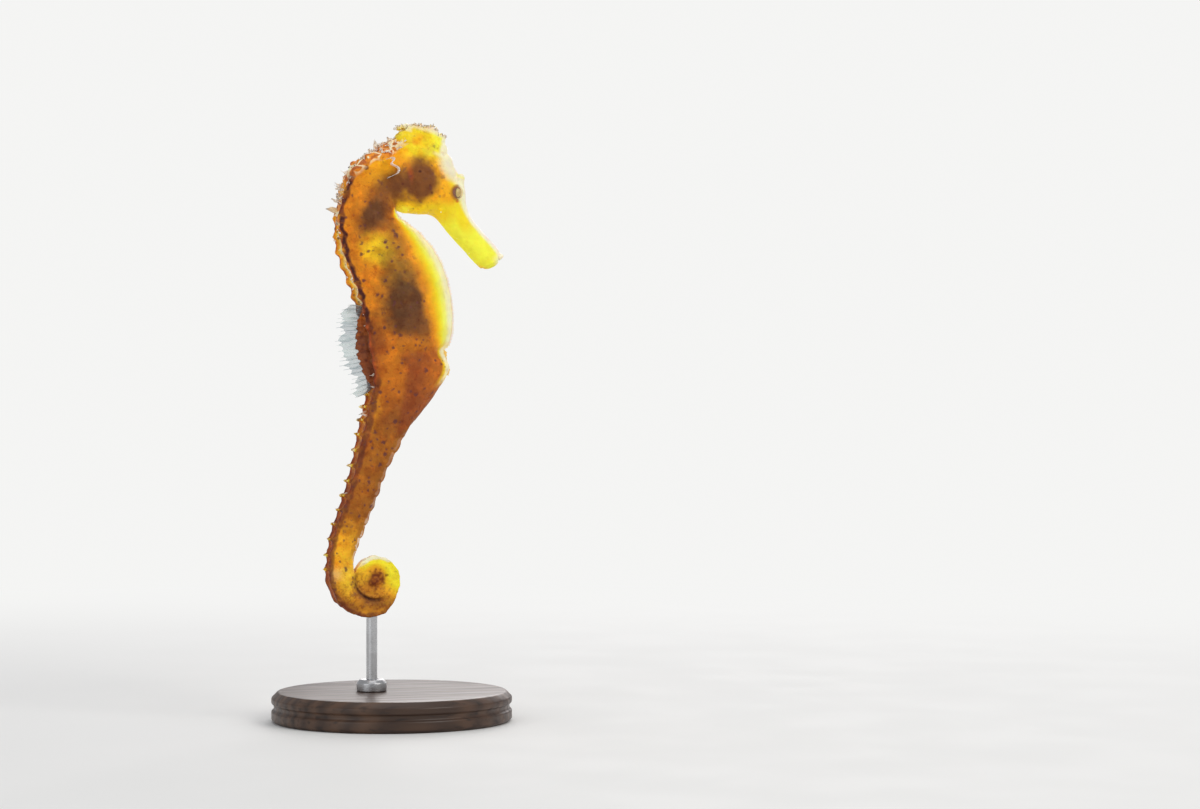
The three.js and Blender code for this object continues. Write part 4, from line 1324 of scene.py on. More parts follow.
class Paint:
    """A node material in the making."""

    def __init__(self, name: str, finish: Finish) -> None:
        """Starts a material whose shader has the finish's values.

        Args:
            name: The material's name.
            finish: The values that are the same all over.
        """
        self.material = bpy.data.materials.new(name)
        self.material.use_nodes = True
        self.tree = self.material.node_tree
        self.shader = next(n for n in self.tree.nodes if n.type == "BSDF_PRINCIPLED")
        values = {
            "Roughness": finish.roughness,
            "Metallic": finish.metallic,
            "Specular IOR Level": finish.specular,
            "Coat Weight": finish.coat,
            "Coat Roughness": finish.coat_roughness,
            "Subsurface Weight": finish.subsurface,
            "Subsurface Radius": finish.subsurface_radius,
            "Subsurface Scale": finish.subsurface_scale,
            "IOR": finish.ior,
        }
        for socket, value in values.items():
            self.shader.inputs[socket].default_value = value
        self.coordinates = self.node("TexCoord").outputs["Object"]

    def node(self, kind: str, **values: Value | str | bool) -> bpy.types.Node:
        """Adds a node; values are its properties, or its inputs where the name starts with in_.

        Args:
            kind: The kind of node.
            **values: Its properties and inputs.

        Returns:
            The node.
        """
        made = self.tree.nodes.new(f"ShaderNode{kind}")
        for name, value in values.items():
            if name.startswith("in_"):
                self.feed(made.inputs[name[3:].replace("_", " ")], value)
            else:
                setattr(made, name, value)
        return made

    def feed(self, socket: Socket, value: Value) -> None:
        """Links a socket to another, or sets its value.

        Args:
            socket: The input.
            value: What it is linked to, or set to.
        """
        if isinstance(value, Socket):
            self.tree.links.new(value, socket)
        elif socket.type == "RGBA" and len(value) == 3:
            socket.default_value = (*value, 1)
        else:
            socket.default_value = value

    def attribute(self, name: str, colour: bool = False) -> Socket:
        """A number or colour stored on the mesh."""
        made = self.node("Attribute", attribute_name=name)
        return made.outputs["Color" if colour else "Fac"]

    def clouds(self, scale: float, detail: float = 3, stretch: Triple = (1, 1, 1),
               distortion: float = 0) -> Socket:
        """Cloudy noise; scale is how many clouds there are to a metre.

        Args:
            scale: How many clouds there are to a metre.
            detail: How many finer layers the noise has.
            stretch: How much denser it is along x, y and z.
            distortion: How much it is bent.

        Returns:
            The noise, from 0 to 1.
        """
        where = self.coordinates
        if stretch != (1, 1, 1):
            where = self.node("Mapping", in_Vector=where, in_Scale=stretch).outputs[0]
        made = self.node(
            "TexNoise", in_Vector=where, in_Scale=scale, in_Detail=detail, in_Distortion=distortion
        )
        return made.outputs["Fac"]

    def cells(self, scale: float, **values: Value | str | bool) -> Socket:
        """Distance to the nearest of scattered points; scale is how many there are to a metre."""
        made = self.node("TexVoronoi", in_Vector=self.coordinates, in_Scale=scale, **values)
        return made.outputs["Distance"]

    def ramp(self, value: Socket, low: float, high: float, to_low: float = 0.0,
             to_high: float = 1.0) -> Socket:
        """A smooth step from to_low at low to to_high at high.

        Args:
            value: What is given.
            low: Where the step starts.
            high: Where it ends.
            to_low: Its value before the start.
            to_high: Its value past the end.

        Returns:
            The stepped value.
        """
        made = self.node("MapRange", interpolation_type="SMOOTHSTEP")
        for name, given in zip(("Value", "From Min", "From Max", "To Min", "To Max"),
                               (value, low, high, to_low, to_high), strict=True):
            self.feed(made.inputs[name], given)
        return made.outputs[0]

    def times(self, a: Value, b: Value) -> Socket:
        """The product of two numbers."""
        return self.sum("MULTIPLY", a, b)

    def stain(
        self, colour: Socket, cloud: Socket, low: float, high: float, strength: float,
        where: Socket, tint: Triple,
    ) -> Socket:
        """Darkens or tints a colour in the thick of a cloud, as far as another mask lets it.

        Args:
            colour: The colour so far.
            cloud: The noise whose high places are tinted.
            low: Where in the noise the tint starts.
            high: Where in the noise it is full.
            strength: How strong it is there.
            where: The mask.
            tint: What the colour is multiplied by.

        Returns:
            The new colour.
        """
        amount = self.times(self.ramp(cloud, low, high, 0, strength), where)
        return self.mix(amount, colour, tint, "MULTIPLY")

    def sum(self, operation: str, a: Value, b: Value) -> Socket:
        """One step of arithmetic on two numbers.

        Args:
            operation: Which step it is.
            a: The first.
            b: The second.

        Returns:
            The result.
        """
        made = self.node("Math", operation=operation)
        self.feed(made.inputs[0], a)
        self.feed(made.inputs[1], b)
        return made.outputs[0]

    def mix(self, amount: Value, a: Value, b: Value, blend: str = "MIX") -> Socket:
        """Colour b over colour a.

        Args:
            amount: How much of b covers a.
            a: The colour underneath.
            b: The colour on top.
            blend: How b is laid over a.

        Returns:
            The mixed colour.
        """
        made = self.node("Mix", data_type="RGBA", blend_type=blend)
        for index, value in ((0, amount), (6, a), (7, b)):
            self.feed(made.inputs[index], value)
        return made.outputs[2]

    def bump(self, height: Socket, depth: float, under: Socket | None = None) -> Socket:
        """A bumpy surface; depth is metres from its lowest point to its highest.

        Args:
            height: The height, from 0 to 1.
            depth: How deep it is.
            under: Coarser bumps that it lies on.

        Returns:
            The direction out of the bumpy surface.
        """
        made = self.node("Bump", in_Height=height, in_Distance=depth, in_Strength=1.0)
        if under is not None:
            self.feed(made.inputs["Normal"], under)
        return made.outputs[0]

    def finish(
        self, colour: Value | None = None, roughness: Value | None = None,
        normal: Socket | None = None, alpha: Value | None = None,
    ) -> Material:
        """Connects what varies over the surface and returns the material.

        Args:
            colour: Its colour.
            roughness: How rough it is.
            normal: Its bumps.
            alpha: How solid it is.

        Returns:
            The material.
        """
        for name, value in (
            ("Base Color", colour), ("Roughness", roughness), ("Normal", normal), ("Alpha", alpha)
        ):
            if value is not None:
                self.feed(self.shader.inputs[name], value)
        return self.material


class Materials:
    """Makes each of the model's finishes once."""

    def __init__(self) -> None:
        """Starts with none made."""
        self._made: dict[str, Material] = {}

    def get(self, name: str) -> Material:
        """The material of that name, made on first use.

        Args:
            name: The finish's name.

        Returns:
            The material.
        """
        if name not in self._made:
            self._made[name] = getattr(self, f"_{name}")()
        return self._made[name]

    def _skin(self) -> Material:
        """Damp, faintly translucent skin with soft dark spots, fine speckle and wrinkles.

        Returns:
            The material.
        """
        paint = Paint(
            "seahorse_skin",
            Finish(
                specular=0.22,
                subsurface=0.12,
                subsurface_radius=(1.0, 0.42, 0.12),
                subsurface_scale=0.001,
            ),
        )
        ground = paint.attribute("ground", colour=True)
        spots = paint.attribute("spots")
        free = paint.ramp(spots, 0.1, 1.0, 0.2, 1)
        cloud, lights = paint.clouds(430, 4), paint.clouds(620, 4)
        colour = paint.stain(ground, lights, 0.45, 0.7, 1, free, (1.3, 1.25, 1.0))
        colour = paint.stain(colour, cloud, 0.42, 0.7, 0.5, free, (0.62, 0.34, 0.16))
        blotch = paint.clouds(1150, 4, distortion=0.5)
        colour = paint.stain(colour, blotch, 0.54, 0.7, 0.45, free, (0.56, 0.3, 0.2))
        colour = paint.stain(
            colour, paint.clouds(3000, 3), 0.55, 0.75, 0.4, free, (0.6, 0.34, 0.14)
        )
        wobble = paint.times(paint.sum("SUBTRACT", paint.clouds(1500, 4), 0.5), 0.62)
        for scale, inner, outer, dark, ragged, tint in (
            (400, 0.06, 0.24, 0.86, 1.0, (0.13, 0.04, 0.035)),
            (600, 0.05, 0.24, 0.84, 0.8, (0.15, 0.045, 0.035)),
            (1050, 0.0, 0.16, 0.6, 0.3, (0.2, 0.065, 0.035)),
        ):
            distance = paint.sum(
                "ADD", paint.cells(scale, in_Randomness=1.0), paint.times(wobble, ragged)
            )
            mask = paint.times(paint.ramp(distance, inner, outer, dark, 0), spots)
            colour = paint.mix(mask, colour, tint)
        roughness = paint.ramp(paint.clouds(1300, 3), 0.3, 0.7, 0.42, 0.62)
        pores = paint.bump(paint.clouds(5200, 3), 0.00007)
        wrinkles = paint.bump(paint.clouds(1500, 3), 0.00016, pores)
        return paint.finish(colour, roughness, wrinkles)

    def _lace(self) -> Material:
        """Thin pale skin flaps that take the body's colour at their roots.

        Returns:
            The material.
        """
        paint = Paint(
            "skin_flaps",
            Finish(
                specular=0.3,
                subsurface=0.25,
                subsurface_radius=(1.0, 0.7, 0.55),
                subsurface_scale=0.0006,
            ),
        )
        tip, edge = paint.attribute("tip"), paint.attribute("edge")
        ground = paint.attribute("ground", colour=True)
        pale = paint.mix(paint.clouds(1400, 3), (1.0, 0.95, 0.78), (1.0, 0.8, 0.68))
        colour = paint.mix(paint.ramp(tip, 0.15, 0.55), ground, pale)
        outline = paint.times(paint.ramp(edge, 0.8, 0.98, 0, 0.15), paint.ramp(tip, 0.7, 0.25))
        outline = paint.times(outline, paint.ramp(paint.clouds(1100, 3), 0.38, 0.6))
        colour = paint.mix(outline, colour, (0.2, 0.08, 0.05))
        roughness = paint.ramp(paint.clouds(2200, 2), 0.3, 0.7, 0.45, 0.65)
        return paint.finish(colour, roughness, paint.bump(paint.clouds(4200, 3), 0.00005))

    def _fin_ray(self) -> Material:
        """Milky, faintly green fin rays, greyer at the foot and jointed along their length; their
        outer white is partly painted highlight.

        Returns:
            The material.
        """
        paint = Paint(
            "fin_rays",
            Finish(
                specular=0.5,
                subsurface=0.2,
                subsurface_radius=(0.8, 0.8, 0.8),
                subsurface_scale=0.0004,
            ),
        )
        tip, milk_and_highlight = paint.attribute("tip"), paint.attribute("milk_and_highlight")
        ground = paint.attribute("ground", colour=True)
        dull = paint.mix(paint.clouds(900, 3), (0.13, 0.2, 0.24), (0.28, 0.37, 0.4))
        clear = paint.mix(paint.clouds(900, 3), (0.62, 0.78, 0.74), (0.9, 0.95, 0.9))
        # partly painted highlight: the rays whiten towards their tips and on the brighter rays,
        # partly their own milky colour
        amount = paint.times(
            paint.ramp(tip, 0.2, 0.7, 0.25, 1), paint.ramp(milk_and_highlight, 0.15, 0.75, 0.15, 1)
        )
        colour = paint.mix(paint.ramp(tip, 0.2, 0.42), ground, paint.mix(amount, dull, clear))
        colour = paint.mix(paint.ramp(milk_and_highlight, 0.84, 0.86), colour, ground)
        joints = paint.node("TexWave", in_Vector=paint.coordinates, in_Scale=700, in_Distortion=1.5)
        roughness = paint.ramp(joints.outputs["Fac"], 0.2, 0.8, 0.3, 0.5)
        return paint.finish(colour, roughness, paint.bump(joints.outputs["Fac"], 0.00003))

    def _fin_web(self) -> Material:
        """The thin skin between fin rays, clear with blue-grey streaks and milky streaks that are
        partly painted highlight.

        Returns:
            The material.
        """
        paint = Paint("fin_web", Finish(specular=0.5))
        tip, milk_and_highlight = paint.attribute("tip"), paint.attribute("milk_and_highlight")
        ground = paint.attribute("ground", colour=True)
        streaks = paint.clouds(1500, 3, stretch=(0.25, 1, 1))
        grey = paint.mix(streaks, (0.08, 0.13, 0.18), (0.24, 0.32, 0.37))
        whitish = paint.mix(streaks, (0.34, 0.5, 0.5), (0.74, 0.86, 0.82))
        # partly painted highlight: whitish streaks towards the web's rim
        amount = paint.times(paint.ramp(tip, 0.25, 0.75), milk_and_highlight)
        colour = paint.mix(paint.ramp(tip, 0.22, 0.42), ground, paint.mix(amount, grey, whitish))
        colour = paint.mix(paint.ramp(milk_and_highlight, 0.84, 0.86), colour, ground)
        alpha = paint.sum(
            "ADD", paint.ramp(tip, 0.2, 0.5, 0.96, 0.3), paint.ramp(streaks, 0.45, 0.75, 0, 0.3)
        )
        alpha = paint.sum("MAXIMUM", alpha, paint.ramp(milk_and_highlight, 0.84, 0.86))
        roughness = paint.ramp(streaks, 0.3, 0.7, 0.22, 0.4)
        return paint.finish(colour, roughness, paint.bump(streaks, 0.00004), alpha)

    def _iris(self) -> Material:
        """A pale gold oval with a narrow pupil, in a brown-violet ball streaked with fine rays.

        Returns:
            The material.
        """
        paint = Paint("eye_iris", Finish(specular=0.4, coat=0.9, coat_roughness=0.03))
        ahead, up = paint.attribute("ahead"), paint.attribute("up")

        def oval(x: float, y: float, wide: float, tall: float) -> Socket:
            """Distance from an oval's middle, 1 on its edge.

            Args:
                x: How far ahead its middle lies.
                y: How far up its middle lies.
                wide: Its half width.
                tall: Its half height.

            Returns:
                The distance.
            """
            across = paint.sum("DIVIDE", paint.sum("SUBTRACT", ahead, x), wide)
            above = paint.sum("DIVIDE", paint.sum("SUBTRACT", up, y), tall)
            joined = paint.node("CombineXYZ", in_X=across, in_Y=above)
            length = paint.node("VectorMath", operation="LENGTH", in_Vector=joined.outputs[0])
            return length.outputs["Value"]

        cloud = paint.clouds(2600, 3)
        way = paint.node("CombineXYZ", in_X=ahead, in_Y=up)
        even = paint.node("VectorMath", operation="NORMALIZE", in_Vector=way.outputs[0])
        rays = paint.node("TexNoise", in_Vector=even.outputs[0], in_Scale=9.0, in_Detail=3.0)
        rays = rays.outputs["Fac"]
        colour = paint.mix(rays, (0.14, 0.05, 0.028), (0.36, 0.14, 0.065))
        colour = paint.mix(paint.ramp(up, 0.35, 0.75, 0, 0.3), colour, (0.4, 0.12, 0.04))
        colour = paint.mix(paint.ramp(ahead, 0.2, 0.55, 0, 0.9), colour, (0.86, 0.66, 0.34))
        gold = paint.mix(cloud, (0.44, 0.3, 0.07), (0.74, 0.52, 0.18))
        iris, pupil = oval(-0.06, -0.03, 0.42, 0.66), oval(0.0, 0.0, 0.08, 0.2)
        outline = paint.times(paint.ramp(iris, 1.24, 1.1), paint.ramp(ahead, 0.4, 0.0, 0.15, 0.85))
        colour = paint.mix(outline, colour, (0.12, 0.08, 0.025))
        colour = paint.mix(paint.ramp(iris, 1.08, 0.92), colour, gold)
        colour = paint.mix(paint.ramp(pupil, 1.2, 0.6, 0, 0.5), colour, (0.12, 0.08, 0.03))
        roughness = paint.ramp(cloud, 0.3, 0.7, 0.25, 0.4)
        return paint.finish(colour, roughness, paint.bump(rays, 0.00003))

    def _lid(self) -> Material:
        """The smooth damp rim of the eye.

        Returns:
            The material.
        """
        paint = Paint(
            "eye_rim",
            Finish(
                specular=0.45,
                coat=0.2,
                coat_roughness=0.15,
                subsurface=0.1,
                subsurface_scale=0.0004,
            ),
        )
        ground = paint.attribute("ground", colour=True)
        colour = paint.mix(
            paint.ramp(paint.clouds(2400, 3), 0.45, 0.7, 0, 0.25),
            ground,
            (0.55, 0.3, 0.16),
            "MULTIPLY",
        )
        roughness = paint.ramp(paint.clouds(1800, 2), 0.3, 0.7, 0.28, 0.45)
        return paint.finish(colour, roughness, paint.bump(paint.clouds(4000, 3), 0.00003))

    def _walnut(self) -> Material:
        """Oiled dark walnut, its grain running along x.

        Returns:
            The material.
        """
        paint = Paint("walnut", Finish(specular=0.4, coat=0.25, coat_roughness=0.28))
        bent = paint.clouds(26, 3, stretch=(0.35, 1, 1))
        where = paint.node("Mapping", in_Vector=paint.coordinates, in_Scale=(0.12, 1, 1)).outputs[0]
        rings = paint.node(
            "TexWave", in_Vector=where, in_Scale=95, in_Distortion=7.0, in_Detail=4.0,
            wave_type="BANDS", bands_direction="Y",
        ).outputs["Fac"]
        grain = paint.clouds(900, 5, stretch=(0.05, 1, 1))
        colour = paint.mix(rings, (0.036, 0.017, 0.009), (0.1, 0.05, 0.026))
        colour = paint.mix(paint.ramp(bent, 0.35, 0.7, 0, 0.45), colour, (0.06, 0.03, 0.018))
        colour = paint.mix(paint.ramp(grain, 0.52, 0.72, 0, 0.75), colour, (0.014, 0.007, 0.005))
        roughness = paint.ramp(grain, 0.3, 0.75, 0.36, 0.58)
        return paint.finish(colour, roughness, paint.bump(grain, 0.00006))

    def _steel(self) -> Material:
        """Brushed stainless steel, its fine lines running round it.

        Returns:
            The material.
        """
        paint = Paint("brushed_steel", Finish(metallic=1.0))
        lines = paint.clouds(9000, 4, stretch=(0.08, 0.08, 1))
        smudge = paint.clouds(260, 3)
        colour = paint.mix(lines, (0.42, 0.42, 0.43), (0.62, 0.62, 0.63))
        colour = paint.mix(paint.ramp(smudge, 0.45, 0.7, 0, 0.25), colour, (0.36, 0.35, 0.34))
        roughness = paint.sum(
            "ADD", paint.ramp(lines, 0.3, 0.7, 0.2, 0.34), paint.ramp(smudge, 0.4, 0.7, 0, 0.1)
        )
        return paint.finish(colour, roughness, paint.bump(lines, 0.00001))


# ---------------------------------------------------------------- the skin


@dataclass(frozen=True)
class Knob:
    """A blunt spine of the head, on both sides."""

    foot: Triple
    tip: Triple
    radius: float
    blunt: float = 0.4

    def solid(self) -> Solid:
        """A round-tipped cone that stands in the skin.

        Returns:
            The closed shape.
        """
        foot, tip = (np.array(p) + UP for p in (self.foot, self.tip))
        share = np.linspace(-0.25, 1, 24)
        line = foot + (tip - foot) * share[:, None]
        radii = self.radius * (1 - (1 - self.blunt) * np.clip(share, 0, 1) ** 0.8)
        radii = radii * np.sqrt(np.clip((1.03 - share) / 0.2, 0.02, 1))
        return tube(line, radii, 20)


@dataclass(frozen=True)
class Coronet:
    """The crown: a lumpy cup of blunt points that leans forwards, its rim curling over a hollow."""

    foot: Pair = (4.8, 92.5)
    lean: float = 17.0
    points: int = 5
    # height, half length, half width, depth of the lobes, share of the rim's rise
    levels: tuple[tuple[float, ...], ...] = (
        (-0.8, 5.2, 3.3, 0, 0),
        (0, 5.3, 3.4, 0, 0),
        (1.8, 5.0, 3.0, 0.02, 0.1),
        (3.3, 4.85, 2.85, 0.05, 0.5),
        (4.5, 4.6, 2.9, 0.09, 0.9),
        (5.1, 3.9, 2.5, 0.11, 1),
        (4.85, 3.1, 2.0, 0.08, 0.8),
        (4.0, 2.2, 1.35, 0.03, 0.3),
        (3.7, 0.8, 0.5, 0, 0),
    )
    # the curl's line in the crown's own length and height, and half its width
    curl_line: tuple[Triple, ...] = (
        (-1.2, 4.2, 1.7), (-2.2, 4.5, 1.6), (-3.1, 4.5, 1.5), (-3.9, 4.3, 1.35), (-4.5, 3.95, 1.1),
        (-4.85, 3.5, 0.75),
    )

    def to_local(self, points: Array) -> Array:
        """Places relative to the crown's own foot and lean.

        Args:
            points: The points.

        Returns:
            The places in the crown's own axes.
        """
        turn = math.radians(self.lean)
        d = points - [self.foot[0], 0, self.foot[1] + LIFT]
        x = d[:, 0] * math.cos(turn) - d[:, 2] * math.sin(turn)
        z = d[:, 0] * math.sin(turn) + d[:, 2] * math.cos(turn)
        return np.stack([x, d[:, 1], z], 1)

    def from_local(self, points: Array) -> Array:
        """Places in the crown's own axes, set on the head.

        Args:
            points: The points.

        Returns:
            The places on the head.
        """
        turn = math.radians(self.lean)
        x = points[..., 0] * math.cos(turn) + points[..., 2] * math.sin(turn)
        z = -points[..., 0] * math.sin(turn) + points[..., 2] * math.cos(turn)
        return np.stack([x + self.foot[0], points[..., 1], z + self.foot[1] + LIFT], -1)

    def rim(self, turn: Array, level: float = 5.0) -> Array:
        """Points along the crown's rim."""
        return self.rows(np.array([level]), turn)[0]

    def rows(self, level: Array, turn: Array) -> Array:
        """Points of the crown at places up its wall and round it.

        Args:
            level: Places up the wall, from the foot to the rim.
            turn: Places round the crown.

        Returns:
            The points, shape (levels, turns, 3).
        """
        values = spline_weights(level, len(self.levels), closed=False) @ np.array(self.levels)
        up, long, wide, lobe, rise = (values[:, i : i + 1] for i in range(5))
        point = np.cos(self.points * turn)[None]
        ragged = 0.5 * np.sin(13 * turn + 1)[None] + 0.5 * np.sin(23 * turn)[None]
        top = ease(level, 3, 4.6)[:, None] * ease(level, 7, 5.6)[:, None]
        reach = 1 + lobe * point + 0.035 * top * ragged
        behind = np.abs(np.mod(turn, 2 * np.pi) - np.pi)[None]
        lift = 0.55 * np.sin(turn)[None] ** 2 + 0.25 * point - 1.9 * ease(behind, 0.95, 0.6)
        local = np.stack(
            [
                long * reach * np.cos(turn),
                wide * reach * np.sin(turn),
                up + rise * lift + 0.2 * top * ragged,
            ],
            -1,
        )
        return self.from_local(local)

    def curl(self) -> Solid:
        """The strip of the rim that arches back over the hollow.

        Returns:
            The strip as a closed shape.
        """
        share = np.linspace(0, len(self.curl_line) - 1, 40)
        line = spline_weights(share, len(self.curl_line), closed=False) @ np.array(self.curl_line)
        centres = self.from_local(np.stack([line[:, 0], 0 * share, line[:, 1]], -1))
        wide = line[:, 2] * (1 + 0.12 * np.sin(3.1 * share))
        return tube(centres, wide, 28, across=np.array([0.0, 1.0, 0.0]), flat=0.32)

    def solid(self) -> Solid:
        """The crown as a closed mesh.

        Returns:
            The closed shape.
        """
        turn = np.linspace(0, 2 * np.pi, 180, endpoint=False)
        cup = Solid.loft(self.rows(np.linspace(0, len(self.levels) - 1, 90), turn))
        return Solid.joined([cup, self.curl()])


@dataclass(frozen=True)
class EyePlace:
    """Where an eye sits: its middle, radius and the way it looks, on the right side."""

    middle: Triple = (12.4, -2.75, 84.6)
    radius: float = 1.45
    way: Triple = (0.3, -0.95, 0.03)
    opening: float = 1.18

    def axes(self, left: bool) -> tuple[Array, Array, Array, Array]:
        """The eye's middle, the way it looks, and its own forward and upward directions.

        Args:
            left: Whether it is the left one.

        Returns:
            The middle, the way out, forward and up.
        """
        flip = np.array([1, -1 if left else 1, 1])
        middle, way = (np.array(self.middle) + UP) * flip, unit(np.array(self.way)) * flip
        ahead = unit(np.array([1.0, 0, 0]) - way * way[0])
        up = np.cross(way, ahead)
        return middle, way, ahead, up * np.sign(up[2])

    def aside(self, points: Array, left: bool) -> tuple[Array, Array]:
        """Distance of places from the eye's axis, and how far ahead of its middle they are.

        Args:
            points: The points.
            left: Whether it is the left one.

        Returns:
            The distance and how far ahead.
        """
        middle, way = self.axes(left)[:2]
        d = points - middle
        ahead = d @ way
        return np.linalg.norm(d - ahead[:, None] * way, axis=1), ahead

    def ring(self, left: bool, ahead: float, major: float, minor: float, steps: int = 60) -> Solid:
        """A ring round the eye's axis, of radius major and thickness minor.

        Args:
            left: Whether it is the left one.
            ahead: How far it lies ahead of the eye's middle.
            major: Its radius.
            minor: Its thickness.
            steps: How many steps it has round.

        Returns:
            The ring as a closed shape.
        """
        middle, way, forward, up = self.axes(left)
        turn = np.linspace(0, 2 * np.pi, steps + 1)
        out = np.cos(turn)[:, None] * forward + np.sin(turn)[:, None] * up
        small = np.linspace(0, 2 * np.pi, 24, endpoint=False)
        spread = np.cos(small)[None, :, None] * out[:, None] + np.sin(small)[None, :, None] * way
        return Solid.loft(
            middle + way * ahead + major * out[:, None] + minor * spread, closed_ends=False
        )


class Skin:
    """The animal's one skin: body, crown, spines and lids as a single closed mesh."""

    voxel = 0.14
    length_step = 0.2  # of the fine grid, along the body in millimetres
    round_step = 0.1  # and round it in positions
    tail_spines = 1.4  # where round the tail the upper spines stand
    fin_root_rings = (7.9, 12.4)  # from which crest to which the fin's fleshy foot runs
    socket_depth = 0.4
    lid = (0.6, 1.36, 0.34)  # how far ahead of the eye's middle, its radius and thickness
    knobs = (
        Knob((12.9, -1.85, 85.9), (13.9, -2.4, 88.4), 1.65, 0.36),
        Knob((9.2, -3.1, 81.2), (9.1, -3.85, 80.5), 0.5),
    )
    # swellings: middle, half sizes and tilt; those well off the middle line are on both sides
    swellings = (
        ((5.2, -2.7, 86.9), (4.5, 2.05, 4.05), 0.0),
        ((9.5, 0.0, 93.2), (1.75, 2.4, 1.8), 0.0),
        ((20.56, 0.0, 70.94), (2.05, 1.6, 1.05), 28.6),
        ((22.3, 0.0, 72.0), (0.9, 1.5, 0.6), 28.6),
        ((-4.1, -0.9, 7.2), (1.7, 1.0, 1.7), 0.0),
        ((-6.9, -0.3, 5.1), (1.7, 1.3, 1.1), -36.0),
        ((-8.3, -0.2, 7.5), (0.9, 1.3, 1.9), 0.0),
    )
    mouth_line = ((18.5, 69.7), (22.9, 72.1))
    cleft = ((21.98, 71.37), 0.2, 0.5)  # where the mouth opens, half its height and its depth
    nodes = (
        "mouth", "snout", "head", "coronet", "neck", "trunk_upper", "trunk_middle", "trunk_lower",
        "brood_pouch", "tail_base", "tail_upper", "tail_middle", "tail_lower", "coil_outer",
        "coil_inner", "tail_tip",
    )

    def __init__(
        self, body: Body, relief: Relief, markings: Markings, eye: EyePlace, coronet: Coronet
    ) -> None:
        """Keeps the shapes that the skin is made from.

        Args:
            body: The body.
            relief: Its relief.
            markings: Its markings.
            eye: The eyes.
            coronet: The crown.
        """
        self.body, self.relief, self.markings = body, relief, markings
        self.eye, self.coronet = eye, coronet
        self.lengths = np.arange(0, body.total, self.length_step)
        self.around = np.arange(0, ROUND, self.round_step)
        self.surface = self._surface()
        self._tree = self._search_tree()

    def _surface(self) -> Array:
        """Fine grid of the body with its relief, shape (lengths, around, 3).

        Returns:
            The grid of points.
        """
        smooth = self.body.grid(self.body.place_at(self.lengths), self.around)
        along = np.gradient(smooth, axis=0)
        across = np.roll(smooth, -1, 1) - np.roll(smooth, 1, 1)
        out = unit(np.cross(across, along))
        middle = smooth.mean(1, keepdims=True)
        out *= np.where(((smooth - middle) * out).sum(-1).mean(1) < 0, -1, 1)[:, None, None]
        s, k = np.meshgrid(self.lengths, self.around, indexing="ij")
        at = Place(smooth.reshape(-1, 3), s.ravel(), k.ravel())
        return smooth + out * self.relief.height(at).reshape(s.shape)[..., None]

    def _search_tree(self) -> kdtree.KDTree:
        """Finds the nearest place of the fine grid.

        Returns:
            The tree, one entry a place of the grid.
        """
        flat = self.surface.reshape(-1, 3)
        tree = kdtree.KDTree(len(flat))
        for i, point in enumerate(flat):
            tree.insert(point, i)
        tree.balance()
        return tree

    def place(self, points: Array) -> Place:
        """Where on the body each of many points lies.

        Args:
            points: The points.

        Returns:
            The places, one for each point.
        """
        flat = self.surface.reshape(-1, 3)
        found = np.fromiter((self._tree.find(p)[1] for p in points), int, len(points))
        along = np.gradient(self.surface, axis=0).reshape(-1, 3)[found]
        across = (np.roll(self.surface, -1, 1) - np.roll(self.surface, 1, 1)) / 2
        across = across.reshape(-1, 3)[found]
        offset = points - flat[found]
        row, column = np.divmod(found, len(self.around))
        ds = np.clip((offset * along).sum(1) / np.maximum((along**2).sum(1), 1e-9), -1, 1)
        dk = np.clip((offset * across).sum(1) / np.maximum((across**2).sum(1), 1e-9), -1, 1)
        raised = np.abs((offset * unit(np.cross(across, along))).sum(1))
        length = self.lengths[row] + self.length_step * ds
        return Place(points, length, (self.around[column] + self.round_step * dk) % ROUND, raised)

    def _spines(self) -> list[Solid]:
        """Spines at the ring crests of the upper ridges, and low ones on the side ridges.

        Returns:
            The spines.
        """
        made = []
        for ring in range(self.body.trunk_rings + self.body.tail_rings - 10):
            in_tail = ring >= self.body.trunk_rings
            share = max(0, ring - self.body.trunk_rings) / self.body.tail_rings
            length = self.body.crest(ring)
            wrapped = length > self.relief.coil_from + 7
            upper = 0 if wrapped else 1.55 * (1 - 0.75 * share) if in_tail else 0.8
            upper = 0.45 if ring in FIN_RINGS else upper
            for ridge, height in (
                (self.tail_spines if in_tail else RIDGE, upper),
                (SIDE_RIDGE, 0 if in_tail else 0.35),
            ):
                if height < 0.3:
                    continue
                for around in (ridge, ROUND - ridge):
                    foot, out, along = self.body.spot(length, around)
                    tall = height * (1 + 0.45 * float(noise(foot * 3.1, 1.0, 9)[0]))
                    t = np.linspace(-0.35, 1, 16)
                    bend = 0.12 * np.clip(t, 0, 1)[:, None] ** 2 * along
                    line = foot + tall * (t[:, None] * unit(out + 0.1 * along) + bend)
                    wide = (0.24 + 0.2 * height) * (1 - np.clip(t, 0, 1)) ** 0.75 + 0.06
                    made.append(tube(line, wide, 14))
        return made

    def _fin_root(self) -> Solid:
        """The fleshy ridge that the fin on the back stands on.

        Returns:
            The ridge as a closed shape.
        """
        lengths = np.linspace(*(self.body.crest(ring) for ring in self.fin_root_rings), 80)
        line = np.array([self.body.spot(float(s), 0)[0] for s in lengths])
        t = np.linspace(0, 1, 80)
        lumps = 0.12 * np.cos(2 * np.pi * 9 * t) + 0.08 * np.cos(2 * np.pi * 17 * t)
        radii = 0.35 + 2.9 * np.sin(np.pi * t) ** 0.5 + 2 * lumps * np.sin(np.pi * t)
        return tube(line, radii, 24, across=np.array([1.0, 0.0, 0.0]), flat=0.3)

